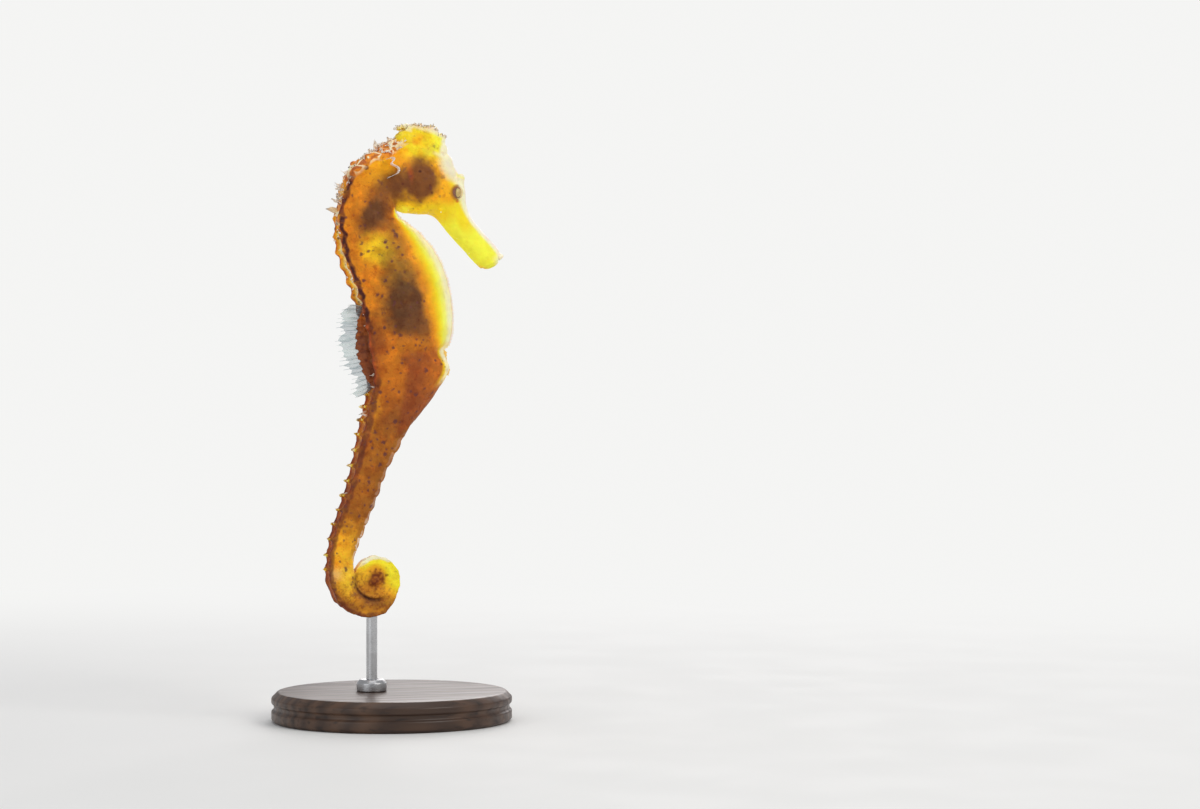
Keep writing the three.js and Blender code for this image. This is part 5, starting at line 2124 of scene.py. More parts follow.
    def _sources(self) -> Solid:
        """Everything that the skin is grown over.

        Returns:
            All of it as one list of points and faces.
        """
        parts = [Solid.loft(self.surface), self.coronet.solid(), self._fin_root(), *self._spines()]
        parts += [self.eye.ring(left, *self.lid) for left in (False, True)]
        for middle, sizes, tilt in self.swellings:
            lump = ball(np.array(middle) + UP, sizes, tilt)
            parts += [lump] if abs(middle[1]) < 1 else [lump, lump.mirrored()]
        for knob in self.knobs:
            parts += [knob.solid(), knob.solid().mirrored()]
        return Solid.joined(parts)

    def _grown(self) -> Mesh:
        """One closed mesh over all sources, smoothed, in millimetres.

        Returns:
            The mesh.
        """
        raw = self._sources().to_mesh("skin_source", scale=1.0)
        carrier = bpy.data.objects.new("skin_source", raw)
        bpy.context.scene.collection.objects.link(carrier)
        remesh = carrier.modifiers.new("grow", "REMESH")
        remesh.mode, remesh.voxel_size = "VOXEL", self.voxel
        remesh.use_smooth_shade = True
        smooth = carrier.modifiers.new("ease", "SMOOTH")
        smooth.factor, smooth.iterations = 0.5, 3
        depsgraph = bpy.context.evaluated_depsgraph_get()
        mesh = bpy.data.meshes.new_from_object(carrier.evaluated_get(depsgraph))
        bpy.data.objects.remove(carrier)
        bpy.data.meshes.remove(raw)
        mesh.name = "seahorse_skin"
        return mesh

    def _carved(self, at: Place) -> Array:
        """Points with the eye sockets, the mouth's cleft and the coil's crease pressed in.

        Args:
            at: Where on the body the points lie.

        Returns:
            The moved points.
        """
        points = at.points.copy()
        for left in (False, True):
            middle = self.eye.axes(left)[0]
            aside, ahead = self.eye.aside(points, left)
            share = (
                ease(aside, self.eye.opening + 0.1, self.eye.opening - 0.1) * (ahead > 0)
                * (ahead < 3)
            )
            target = middle + unit(points - middle) * (self.eye.radius - self.socket_depth)
            points += share[:, None] * (target - points)
        (x, z), half, depth = self.cleft
        heel, lip = np.array(self.mouth_line)
        end = unit(lip - heel)
        inward = np.array([-end[1], end[0]])
        d = points[:, [0, 2]] - [x, z + LIFT]
        beside, deep = d @ end, d @ inward
        push = depth * bell(beside, 0, half) * ease(deep, 1.2, 0.2) * ease(deep, -2.5, -1.5)
        points[:, [0, 2]] += push[:, None] * inward
        crease = self.relief.crease(points, at.length)
        points[:, 1] -= np.sign(points[:, 1] + 0.5) * 0.55 * crease
        reach, x, z = self.relief.on_disc(points)
        reach = np.maximum(reach, 0.1)
        press = 0.4 * ease((x - 0.1 * z) / reach, 0.3, 0.95) * np.maximum(reach - 4.1, 0)
        press *= self.markings.between(at.length, "tail foot", "coil", 0, 3) / reach
        points[:, 0] -= press * x
        points[:, 2] -= press * z
        return points

    def _detail(self, points: Array, normals: Array, at: Place) -> Array:
        """Points with the skin's small lumps and creases.

        Args:
            points: The points.
            normals: The directions out of the surface.
            at: Where on the body the points lie.

        Returns:
            The moved points.
        """
        ring = self.body.ring_at(at.length)[0]
        lumps = (
            0.06 * noise(points, 1.7, 25) + 0.05 * noise(points, 0.9, 21)
            + 0.03 * noise(points, 0.45, 22)
        )
        on_back = (
            ease(at.fold, 3.0, 1.8)
            * ease(at.length, self.body.ring_starts[0], self.body.ring_starts[1])
        )
        rough = 0.12 * on_back * noise(points, 0.6, 23)
        edge = self.body.from_back(at.length, BELLY) - self.body.from_back(at.length, at.fold)
        saw = (
            0.1 * ease(edge, 0.6, 0.2) * ease(ring, 12, 10) * (ring >= 0)
            * np.sin(at.length * 2 * np.pi / 0.62)
        )
        rise = self.coronet.to_local(points)[:, 2]
        before = at.length < self.body.ring_starts[0]
        crown, bumpy = ease(rise, 1.5, 4.5) * before, ease(rise, -0.5, 1.5) * before
        knobby = (
            0.14 * crown * noise(points, 0.5, 24) + 0.26 * bumpy * np.abs(noise(points, 1.5, 26))
        )
        return points + normals * (lumps + rough + saw + knobby)[:, None]

    def build(self, materials: Materials, unwrap: "Unwrap") -> Piece:
        """Makes the skin and dresses it.

        Args:
            materials: Where its finish comes from.
            unwrap: Lays its surface out flat.

        Returns:
            The skin.
        """
        mesh = self._grown()
        at = self.place(read_points(mesh))
        points = self._carved(at)
        normals = np.empty(len(points) * 3, np.float32)
        mesh.vertices.foreach_get("normal", normals)
        at.points = points = self._detail(points, normals.reshape(-1, 3), at)
        write_numbers(mesh, "ground", self._painted(at))
        write_numbers(mesh, "spots", self.markings.spots(at))
        unwrap.lay_out(mesh, at, read_corners(mesh), self.coronet)
        mesh.vertices.foreach_set("co", (points * MM).astype(np.float32).ravel())
        mesh.update()
        return dressed(place_object(mesh, materials.get("skin")), "skin", *self.nodes)

    def _painted(self, at: Place) -> Array:
        """The ground colours, with those of crown, lids and spines.

        Args:
            at: Where on the body the points lie.

        Returns:
            One colour a place.
        """
        c, brush = self.markings.colours, Brush(at.points, (0, 0, 0))
        brush.shade = self.markings.ground(at)
        before = at.length < self.body.ring_starts[0]
        ring = self.body.ring_at(at.length)[0]
        free = (
            (~before) * ease(at.fold, 3.2, 2.6) * (1 - ease(ring, 6.8, 7.6) * ease(ring, 13, 12.4))
        )
        brush.over(c.yellow, ease(at.raised, 0.35, 0.85) * free * 0.8)
        brush.over(c.cream, ease(at.raised, 0.7, 1.15) * free * 0.85)
        root = ease(at.raised, 0.3, 0.8) * (ring > 7.2) * (ring < 12.9) * ease(at.fold, 3.2, 2.6)
        mottle = noise(at.points, 0.9, 34)
        brush.over((0.56, 0.31, 0.18), root)
        brush.over((0.9, 0.52, 0.14), root * ease(ring, 9.6, 8.2) * (0.6 + 0.5 * mottle))
        brush.over((0.38, 0.17, 0.12), root * ease(mottle, 0.0, 0.6) * 0.6)
        self._paint_crown(at, brush, before)
        self._paint_knobs(at, brush)
        self._paint_lids(at, brush)
        return np.clip(brush.shade, 0, 1)

    def _paint_crown(self, at: Place, brush: Brush, before: Array) -> None:
        """Yellow walls, a lemon front and a cream rim; before is true ahead of the rings.

        Args:
            at: Where on the body the points lie.
            brush: What the colours are laid on with.
            before: Which places lie ahead of the rings.
        """
        c = self.markings.colours
        local = self.coronet.to_local(at.points)
        height = local[:, 2]
        crown = ease(height, 0.6, 1.8) * before * ease(local[:, 0], 5.4, 4.6)
        front = (
            ease(height, 0.4, 1.2) * before
            * ease(local[:, 0] + 0.3 * noise(at.points, 0.9, 33), 3.6, 4.6)
        )
        brush.over(c.yellow, crown * 0.95)
        flow = noise(at.points, 1.3, 31)
        brush.over((1.0, 0.66, 0.1), crown * ease(flow, 0.0, 0.5) * ease(height, 4.6, 2.5) * 0.75)
        brush.over(
            c.lemon, crown * ease(local[:, 0] + flow, 0.8, 2.6) * ease(height, 0.6, 1.8) * 0.9
        )
        brush.over(c.cream, crown * ease(height, 4.1, 5.0) * 0.8)
        brush.over(
            c.cream,
            crown * ease(local[:, 0], -2.2, -3.0) * ease(height, 3.2, 3.7) * (0.75 + 0.5 * flow),
        )
        brush.over(c.blush, crown * ease(height, 4.9, 5.5) * 0.7)
        # painted highlight: cream on the front of the crown, where the pale band down the forehead
        # begins
        brush.over(c.cream, front * 0.95)

    def _paint_knobs(self, at: Place, brush: Brush) -> None:
        """Cream tips on the spines of the head.

        Args:
            at: Where on the body the points lie.
            brush: What the colours are laid on with.
        """
        c = self.markings.colours
        mirrored = at.points * [1, 0, 1] - np.abs(at.points) * [0, 1, 0]
        for knob, reach in zip(self.knobs, (1.2, 0.3), strict=True):
            distance = np.linalg.norm(mirrored - np.array(knob.tip) - UP, axis=1)
            brush.over(c.lemon, ease(distance, reach * 1.2, reach * 0.7) * 0.7)
            brush.over(c.cream, ease(distance, reach, reach * 0.4) * 0.95)

    def _paint_lids(self, at: Place, brush: Brush) -> None:
        """Painted shade and light round each eye: brown skin behind it, cream ahead of it and dark
        in its socket.

        Args:
            at: Where on the body the points lie.
            brush: What the colours are laid on with.
        """
        c = self.markings.colours
        for left in (False, True):
            aside, ahead = self.eye.aside(at.points, left)
            behind = ease((at.points - self.eye.axes(left)[0]) @ self.eye.axes(left)[2], 0.9, -0.2)
            # painted shade: brown on the skin behind each eye
            brush.over(
                (0.6, 0.36, 0.17), ease(aside, 1.95, 1.3) * ease(ahead, -0.9, 0.2) * behind * 0.85
            )
            # painted light: cream on the skin ahead of it
            brush.over(c.cream, ease(aside, 1.9, 1.4) * ease(ahead, 0.0, 0.6) * (1 - behind) * 0.8)
            # painted shade: dark in the socket between lid and ball
            brush.over((0.2, 0.1, 0.07), ease(aside, 1.2, 0.9) * ease(ahead, 0, 0.3))


def unwound(turns: Array, whole: float) -> Array:
    """Turns of each face's corners with no jump between them; whole is one full turn."""
    first = turns[:, :1]
    return turns + whole * (turns < first - whole / 2) - whole * (turns > first + whole / 2)


class Unwrap:
    """Lays the body's surface out flat in strips: lengths across, positions round it upwards."""

    strips = 4
    margin = 0.012
    crown_room = 0.16  # share of the layout's height that the crown takes
    crown_from = 1.2  # height above the crown's foot where its own part starts
    crown_size = (4.6, 2.8)  # half length and half width

    def __init__(self, body: Body) -> None:
        """Keeps the body that is laid out."""
        self.body = body
        self.span = body.total / self.strips

    def strip_of(self, length: Array) -> Array:
        """The strip that each length lies in."""
        return np.clip((length / self.span).astype(int), 0, self.strips - 1)

    def spread(self, length: Array, around: Array, strip: Array) -> tuple[Array, Array]:
        """Places on the flat layout.

        Args:
            length: Place along the body.
            around: Place round the body.
            strip: Which strip of the layout they lie on.

        Returns:
            How far across and up the layout each place is.
        """
        tall = (1 - self.crown_room) / self.strips
        u = self.margin + (length - strip * self.span) / self.span * (1 - 2 * self.margin)
        v = strip * tall + self.margin / 2 + around / ROUND * (tall - self.margin)
        return u, v

    def lay_out(self, mesh: Mesh, at: Place, corners: Array, coronet: Coronet) -> None:
        """Gives a mesh its flat layout.

        Args:
            mesh: A mesh of four-cornered faces.
            at: Where its points lie on the body.
            corners: The point at each face corner.
            coronet: The crown, which has a strip of its own.
        """
        faces = corners.reshape(-1, 4)
        length, around = at.length[faces], at.round[faces]
        around = unwound(around, ROUND)
        u, v = self.spread(length, around, self.strip_of(length.mean(1))[:, None])
        local = coronet.to_local(at.points)
        before = at.length < self.body.ring_starts[0]
        on_crown = (
            (local[:, 2] > self.crown_from) & before & (np.hypot(local[:, 0], local[:, 1]) < 7)
        )
        crown = on_crown[faces].all(1)
        turn = np.arctan2(local[:, 1] / 0.6, local[:, 0])[faces]
        turn = unwound(turn, 2 * np.pi)
        rise = local[:, 2][faces]
        reach = np.hypot(local[:, 0] / self.crown_size[0], local[:, 1] / self.crown_size[1])[faces]
        wall = reach > 0.82
        u = np.where(crown[:, None], 0.02 + 0.96 * (turn + np.pi) / (2 * np.pi), u)
        inner = self.crown_room * (0.62 + 0.34 * reach)
        outer = self.crown_room * (0.04 + 0.5 * (rise - self.crown_from) / 4.8)
        up = 1 - self.crown_room + np.where(wall.any(1)[:, None], outer, inner)
        v = np.where(crown[:, None], up, v)
        layer = mesh.uv_layers.new(name="OFBake")
        layer.data.foreach_set("uv", np.stack([u, v], -1).astype(np.float32).ravel())


# ---------------------------------------------------------------- eyes


class Eyes:
    """The two eyes: a glossy coloured ball and the fleshy rim round it."""

    inset = 0.09  # how far the ball lies inside its socket's own radius
    bulge = -0.04  # how far its middle stands out
    rim_ahead = 0.8
    rim_thick = 0.1

    def __init__(self, eye: EyePlace) -> None:
        """Keeps where the eyes sit."""
        self.eye = eye

    def _globe(self, left: bool, radius: float, bulge: float) -> tuple[Solid, Array]:
        """A ball round the eye's axis, and how far ahead and above it each of its points is.

        Args:
            left: Whether it is the left one.
            radius: Its radius.
            bulge: How far its middle stands out.

        Returns:
            The ball and, for each of its points, the two distances.
        """
        middle, way, ahead, up = self.eye.axes(left)
        tilt = np.linspace(0.02, np.pi - 0.02, 64)
        turn = np.linspace(0, 2 * np.pi, 96, endpoint=False)
        swell = radius + bulge * bell(tilt, 0, 0.6)
        flat = np.stack(
            [np.sin(tilt)[:, None] * np.cos(turn), np.sin(tilt)[:, None] * np.sin(turn)], -1
        )
        rows = middle + swell[:, None, None] * (
            np.cos(tilt)[:, None, None] * way + flat[..., :1] * ahead + flat[..., 1:] * up
        )
        return Solid.loft(rows), np.vstack([flat.reshape(-1, 2), [[0, 0], [0, 0]]])

    def _rim(self, left: bool) -> Mesh:
        """The smooth fleshy rim of the eye, with painted shade behind and painted light in front.

        Args:
            left: Whether it is the left one.

        Returns:
            The mesh.
        """
        side = SIDES[left]
        solid = self.eye.ring(left, self.rim_ahead, self.eye.opening - 0.03, self.rim_thick, 90)
        mesh = solid.to_mesh(f"eye_{side}_rim")
        middle, _, ahead, up = self.eye.axes(left)
        d = solid.points - middle
        # painted shade: brown on the rim's back half; painted light: cream on its front
        brush = Brush(solid.points, (0.58, 0.35, 0.2))
        brush.over((1.0, 0.92, 0.66), ease(d @ ahead, -0.4, 0.4))
        brush.over((0.76, 0.42, 0.16), ease(d @ up, 0.7, 1.1) * 0.5)
        brush.over((0.45, 0.38, 0.14), ease(d @ up, -0.4, -1.0) * ease(d @ ahead, -0.3, 0.4) * 0.6)
        write_numbers(mesh, "ground", brush.shade)
        return mesh

    def build(self, materials: Materials) -> list[Piece]:
        """Makes both eyes and dresses them.

        Args:
            materials: The finishes.

        Returns:
            The new pieces.
        """
        made = []
        for left in (False, True):
            side = SIDES[left]
            globe, flat = self._globe(left, self.eye.radius - self.inset, self.bulge)
            mesh = globe.to_mesh(f"eye_{side}_ball")
            write_numbers(mesh, "ahead", flat[:, 0])
            write_numbers(mesh, "up", flat[:, 1])
            inner = place_object(mesh, materials.get("iris"))
            made.append(dressed(inner, "eye", f"eye_{side}"))
            made.append(dressed(place_object(self._rim(left), materials.get("lid")), "eye"))
        return made


# ---------------------------------------------------------------- fins


@dataclass(frozen=True)
class Fan:
    """A fan fin: lines along its foot and its rim, and the way across its thin side."""

    name: str
    foot: Array
    rim: Array
    face: Array
    rays: int
    ray_foot: float
    ray_tip: float
    curl: float
    wave: float
    ground: Array
    thick: float = 0.03
    pale: float = 0.0
    trim: float = 0.0

    def rows(self, shares: Array, reach: Array) -> Array:
        """Points of the fin at shares along it and out from its foot, shape (shares, reach, 3).

        Args:
            shares: Shares along the fin.
            reach: Shares out from its foot.

        Returns:
            The points.
        """
        along = np.linspace(0, 1, len(self.foot))
        foot = np.stack([np.interp(shares, along, self.foot[:, i]) for i in range(3)], -1)
        rim = np.stack([np.interp(shares, along, self.rim[:, i]) for i in range(3)], -1)
        points = foot[:, None] + (rim - foot)[:, None] * reach[None, :, None]
        down = unit(self.foot[-1] - self.foot[0])
        outer = np.maximum(reach[None], 0)
        bend = (
            self.curl
            * (np.sin(np.pi * np.clip(outer, 0, 1.2)) * (shares[:, None] - 0.35) + 0.35 * outer**3)
        )
        ripple = self.wave * np.sin(2 * np.pi * (2.3 * shares[:, None] + 0.55 * outer)) * outer**1.3
        flutter = 0.5 * self.wave * noise(points * [1, 0, 1], 2.2, 55) * outer
        return points + bend[..., None] * down + (ripple + flutter)[..., None] * self.face

    def bright(self, shares: Array) -> Array:
        """How milky the fin is at shares along it, partly a painted highlight: a few rays are
        brighter than the others.

        Args:
            shares: Shares along the fin.

        Returns:
            From 0 to 1 for each share.
        """
        # partly painted highlight: bands of brighter rays
        bands = 0.5 + 0.5 * np.sin(2 * np.pi * (2.4 * np.asarray(shares) + 0.02))
        single = noise(np.stack([np.asarray(shares) * self.rays * 0.9] * 3, -1), 1.0, 59)
        return np.clip(0.2 + 0.6 * bands + 0.35 * single, self.pale, 0.8 + self.pale / 4)

    def reach_of(self, shares: Array) -> Array:
        """How far out the rays end, as a share of the fin's full height.

        Args:
            shares: Shares along the fin.

        Returns:
            The share at each of them.
        """
        return (
            0.88
            + 0.2 * noise(
                np.stack([np.asarray(shares) * self.rays * 0.6, shares, shares], -1), 1.0, 58
            )
        )

    def web(self) -> tuple[Solid, Array, Array]:
        """The skin between the rays, with each point's share out from the foot and milkiness,
        partly painted highlight.

        Returns:
            The web, the shares and the milkiness with its painted highlight.
        """
        columns, rows = self.rays * 6 - 5, 28
        shares = np.linspace(0, 1, columns)
        between = np.abs(np.sin(np.pi * np.interp(shares, self.ray_shares(), np.arange(self.rays))))
        torn = np.abs(noise(np.stack([shares * 26, shares, shares], -1), 1, 57))
        ragged = (0.03 + 0.22 * torn) * between**0.7 + 0.1 * torn
        reach = np.linspace(0, 1, rows)
        ends = (self.reach_of(shares) - 0.05) * (1 - ragged)
        grid = np.stack([self.rows(shares[i : i + 1], reach * ends[i])[0] for i in range(columns)])
        side = self.face * self.thick
        loops = np.concatenate([grid + side, (grid - side)[:, ::-1]], 1)
        out = np.concatenate([reach, reach[::-1]])
        milk_and_highlight = np.concatenate([np.repeat(self.bright(shares), 2 * rows), [0.5, 0.5]])
        return Solid.loft(loops), np.concatenate([np.tile(out, columns), [0.5, 0.5]]), milk_and_highlight

    def ray_shares(self) -> Array:
        """Where along the foot the rays stand, unevenly spaced.

        Returns:
            One share a ray.
        """
        steps = np.arange(self.rays) / (self.rays - 1)
        return np.clip(
            steps + 0.3 / self.rays * noise(np.stack([steps * 31] * 3, -1), 1.0, 53), 0, 1
        )

    def bars(self) -> tuple[Solid, Array, Array]:
        """The rays, with each point's share out from the foot and its milkiness, partly painted
        highlight.

        Returns:
            The rays, the shares and the milkiness with its painted highlight.
        """
        reach = np.linspace(-0.06, 1.0, 34)
        parts, shares, milk_and_highlight = [], [], []
        for i in range(self.rays):
            share = self.ray_shares()[i : i + 1]
            line = self.rows(share, reach * self.reach_of(share)[0] * (1 - self.trim))[0]
            radii = self.ray_foot + (self.ray_tip - self.ray_foot) * np.clip(reach, 0, 1) ** 0.7
            radii = (
                radii * (1 + 0.1 * np.sin(reach * 2 * np.pi * 16))
                * (0.8 + 0.35 * self.bright(share)[0])
            )
            parts.append(tube(line, radii, 8))
            shares.append(np.concatenate([np.repeat(np.clip(reach, 0, 1), 8), [0, 1]]))
            milk_and_highlight.append(np.full(len(shares[-1]), self.bright(share)[0]))
        return Solid.joined(parts), np.concatenate(shares), np.concatenate(milk_and_highlight)

    def build(self, materials: Materials, node: str) -> list[Piece]:
        """Makes web and rays and dresses them.

        Args:
            materials: The finishes.
            node: What the pieces are part of.

        Returns:
            The new pieces.
        """
        made = []
        for suffix, (solid, tip, milk_and_highlight), finish in (
            ("rays", self.bars(), "fin_ray"),
            ("web", self.web(), "fin_web"),
        ):
            mesh = solid.to_mesh(f"{self.name}_{suffix}")
            write_numbers(mesh, "tip", tip)
            write_numbers(mesh, "milk_and_highlight", milk_and_highlight)
            write_numbers(mesh, "ground", np.zeros((len(tip), 3)) + self.ground)
            piece = place_object(mesh, materials.get(finish))
            made.append(dressed(piece, "fin", *([node] if suffix == "rays" else [])))
        return made


class Fins:
    """The fins on the back, behind the gills and under the vent."""

    side_line = (
        (-2.1, 111.9), (-1.1, 112.15), (-0.75, 111.6), (-1.15, 110.95), (0.0, 110.3), (0.3, 109.7),
        (-0.2, 109.0), (-1.1, 108.5), (-1.9, 108.1),
    )

    dorsal_rings = (8.4, 12.7)
    dorsal_height = 9.2
    side_reach = 4.4

    def __init__(self, body: Body) -> None:
        """Keeps the body that the fins stand on."""
        self.body = body

    def dorsal(self) -> Fan:
        """The rounded fin on the back, over the join of trunk and tail.

        Returns:
            The fin.
        """
        t = np.linspace(0, 1, 60)
        starts = self.body.ring_starts
        low, high = (float(np.interp(r, np.arange(len(starts)), starts)) for r in self.dorsal_rings)
        foot = self.body.grid(self.body.place_at(low + (high - low) * t), np.array([0.0]))[:, 0]
        ends = 0.57 + 0.05 * t
        height = self.dorsal_height * (ends + (1 - ends) * np.sin(np.pi * t**0.85))
        rim = foot + np.stack([0.8 - height, 0.3 * np.sin(4 * np.pi * t), 0.9 - 3.6 * t], -1)
        return Fan(
            "dorsal_fin", foot - [-0.3, 0, 0], rim, face=np.array([0.0, 1.0, 0.0]), rays=21,
            ray_foot=0.1, ray_tip=0.035, curl=1.1, wave=0.45, ground=linear((0.54, 0.32, 0.2)),
        )

    def side(self, left: bool) -> Fan:
        """The small fin on the side of the neck, folded into a curve and held out from the body.

        Args:
            left: Whether it is the left one.

        Returns:
            The fin.
        """
        t = np.linspace(0, 1, 30)
        line = (
            spline_weights(t * (len(self.side_line) - 1), len(self.side_line), closed=False)
            @ np.array(self.side_line)
        )
        foot = np.stack([line[:, 0], -3.5 + 0 * t, line[:, 1]], -1)
        reach = self.side_reach * (0.72 + 0.28 * np.sin(np.pi * t))
        face = unit(np.array([0.95, -0.31, 0]))
        lean = 0.85 + 0.22 * np.sin(11 * t)
        rim = foot + reach[:, None] * np.array([-0.31, -0.95, 0.0]) + lean[:, None] * face
        flip = np.array([1, -1 if left else 1, 1])
        name = f"side_fin_{SIDES[left]}"
        return Fan(
            name, foot * flip, rim * flip, face * flip, rays=26, ray_foot=0.05, ray_tip=0.03,
            curl=0.05, wave=0.05, ground=linear((1.0, 0.98, 0.96)), thick=0.09, pale=0.88, trim=0.2,
        )

    def anal(self) -> Fan:
        """The tiny fin in front of the pouch.

        Returns:
            The fin.
        """
        t = np.linspace(0, 1, 20)[:, None]
        lengths = self.body.length_of("vent") + np.linspace(-0.6, 4.2, 20)
        foot = np.array([self.body.spot(float(s), 8)[0] for s in lengths]) - [0.35, 0, 0]
        rim = foot + np.concatenate([1.15 - 0.35 * t, 0 * t, -0.9 + 0 * t], 1)
        return Fan(
            "anal_fin", foot, rim, face=np.array([0.0, 1.0, 0.0]), rays=9, ray_foot=0.06,
            ray_tip=0.04, curl=0.1, wave=0.06, ground=linear((0.98, 0.8, 0.42)), thick=0.05,
            pale=0.88, trim=0.1,
        )

    def build(self, materials: Materials) -> list[Piece]:
        """Makes all four fins.

        Args:
            materials: The finishes.

        Returns:
            The new pieces.
        """
        made = []
        for fan, node in (
            (self.dorsal(), "dorsal_fin"),
            (self.side(False), "side_fin_right"),
            (self.side(True), "side_fin_left"),
            (self.anal(), "anal_fin"),
        ):
            made += fan.build(materials, node)
        return made


# ---------------------------------------------------------------- skin flaps


@dataclass
class Flap:
    """One small flap of skin: its root, the ways out and across, and its sizes."""

    root: Array
    out: Array
    across: Array
    long: float
    wide: float
    curl: float
    twist: float
    fork: float
    place: Pair
    ground: Array
    pale: float = 1.0


class Fringe:
    """The lace of pale skin flaps along nape, back, crown and keel, as one mesh."""

    rows = 8
    columns = 7
    thick = 0.14
    patch = 0.003  # how wide a flap's place in the flat layout is
    on_nape = 230
    on_crown = 110

    def __init__(self, body: Body, markings: Markings, coronet: Coronet, unwrap: Unwrap) -> None:
        """Keeps what the flaps grow on.

        Args:
            body: The body.
            markings: Its markings.
            coronet: The crown.
            unwrap: The flat layout.
        """
        self.body, self.markings, self.coronet, self.unwrap = body, markings, coronet, unwrap
        self.random = np.random.default_rng(20)
        self.flaps: list[Flap] = []

    def _add(
        self, root: Array, out: Array, across: Array, long: float, wide: float, length: float,
        around: float, **more: float,
    ) -> None:
        """Plants one flap, with small random changes.

        Args:
            root: Where it stands.
            out: The way it grows.
            across: The way its width runs.
            long: Its length.
            wide: Its width.
            length: Place of its root along the body.
            around: Place of its root round the body.
            **more: What else it is given, such as its curl.
        """
        vary = self.random.normal(0, 1, 6)
        at = Place(root[None], np.array([length]), np.array([around % ROUND]))
        ground = self.markings.ground(at)[0]
        across = unit(np.cross(out, np.cross(across, out)) + 0.25 * vary[0] * out)
        self.flaps.append(
            Flap(
                root - out * 0.2, unit(out + 0.25 * vary[1] * across), across,
                long * (1 + 0.2 * np.clip(vary[2], -2, 2)),
                wide * (1 + 0.2 * np.clip(vary[3], -2, 2)), more.get("curl", 0.5) + 0.35 * vary[4],
                more.get("twist", 0.0) + 0.5 * vary[5], more.get("fork", 0.3), (length, around),
                ground, more.get("pale", 1.0),
            )
        )

    def on_body(self, place: float, around: float, long: float, wide: float, lean: float = 0.3,
                sideways: float = 0.0, rise: float = 0.0, **more: float) -> None:
        """Plants a flap on the body; lean tips it tailwards and sideways turns its flat side.

        Args:
            place: Place along the body.
            around: Place round the body.
            long: Its length.
            wide: Its width.
            lean: How far it tips tailwards.
            sideways: How far its flat side turns.
            rise: How far it starts above the skin.
            **more: What else it is given, such as its curl.
        """
        length = float(self.body.length_at(place))
        root, out, along = self.body.spot(length, around)
        more["curl"] = more.get("curl", 0.5) * (1 if root[1] > 0 else -1)
        at = Place(root[None], np.array([length]), np.array([around % ROUND]))
        root = root + (rise + 0.75 * self.markings.relief.nape(at)[0]) * out
        side = np.cross(out, along)
        turned = along * math.cos(sideways) + side * math.sin(sideways)
        self._add(root, unit(out + lean * along), turned, long, wide, length, around, **more)

    def _nape(self) -> None:
        """A ruff of small curled flaps from the crown down the neck, with a few larger ones."""
        rnd = self.random
        start, end = self.body.named("crown back") - 0.3, self.body.named("neck") + 0.6
        for i in range(self.on_nape):
            place = start + (end - start) * (i + rnd.random()) / self.on_nape
            around = min(abs(rnd.normal(0.5, 0.8)), 1.7)
            big = rnd.random() ** 3
            self.on_body(
                place, around * rnd.choice([-1, 1]), 0.7 + 0.6 * big, 0.6 + 0.6 * rnd.random(),
                lean=0.5 * rnd.normal(), sideways=0.5 * rnd.normal(), fork=rnd.uniform(0.3, 1.6),
                curl=rnd.uniform(0.0, 0.6) + 0.8 * around,
            )
        for place, around, long, wide, lean in (
            (12.45, 0.1, 2.0, 1.0, -0.5), (13.2, -0.2, 1.5, 0.9, -0.2), (14.3, -0.1, 1.9, 1.0, 0.1),
            (14.75, 0.2, 2.0, 0.8, 0.5), (14.9, -0.3, 1.8, 0.7, 0.2), (15.3, 0.1, 1.6, 0.9, 0.4),
        ):
            self.on_body(place, around, long, wide, lean, fork=0.8, curl=0.1)
        self.on_body(15.95, -0.1, 3.3, 1.7, 0.3, fork=0.3, curl=0.0, pale=0.42)
        self.on_body(16.35, -0.3, 1.5, 0.9, 0.6, fork=0.4, curl=0.1, pale=0.8)

    def _back(self) -> None:
        """Pale tips on the spines, tiny flaps between them, longer ones on the upper tail."""
        rnd = self.random
        for ring in range(2, 27):
            length = self.body.crest(ring)
            if length > self.body.length_of("tail foot"):
                break
            in_tail = ring >= self.body.trunk_rings
            ridge = Skin.tail_spines if in_tail else RIDGE
            for around in () if ring in FIN_RINGS else (ridge, ROUND - ridge):
                foot, out, along = self.body.spot(length, around)
                up = 0.6 if not in_tail else 1.3 * (1 - 0.75 * (ring - 11) / 37)
                self._add(
                    foot + out * up, out, along, 0.3, 0.16, length, around, curl=0.3, fork=0.3
                )
            for _ in range(6 if ring < 8 else 2 if ring < 13 else 0):
                here = float(self.body.place_at(length + rnd.uniform(-1.6, 1.6)))
                around = float(np.clip(rnd.normal(0, 1.2), -1.9, 1.9))
                self.on_body(
                    here, around, 0.4 + 0.5 * rnd.random(), 0.4, sideways=rnd.uniform(-0.8, 0.8),
                    rise=0.25, fork=0.6, curl=rnd.uniform(0, 1),
                )
        for place, around, long in (
            (22.95, -0.4, 2.6), (23.2, 0.5, 1.8), (23.9, -0.6, 1.6), (24.0, 0.5, 1.5),
            (25.2, -0.5, 2.4), (25.45, 0.6, 2.0), (28.15, -0.4, 1.9),
        ):
            self.on_body(place, around, long, 0.55, 0.2, sideways=0.2, fork=0.5, curl=0.5)

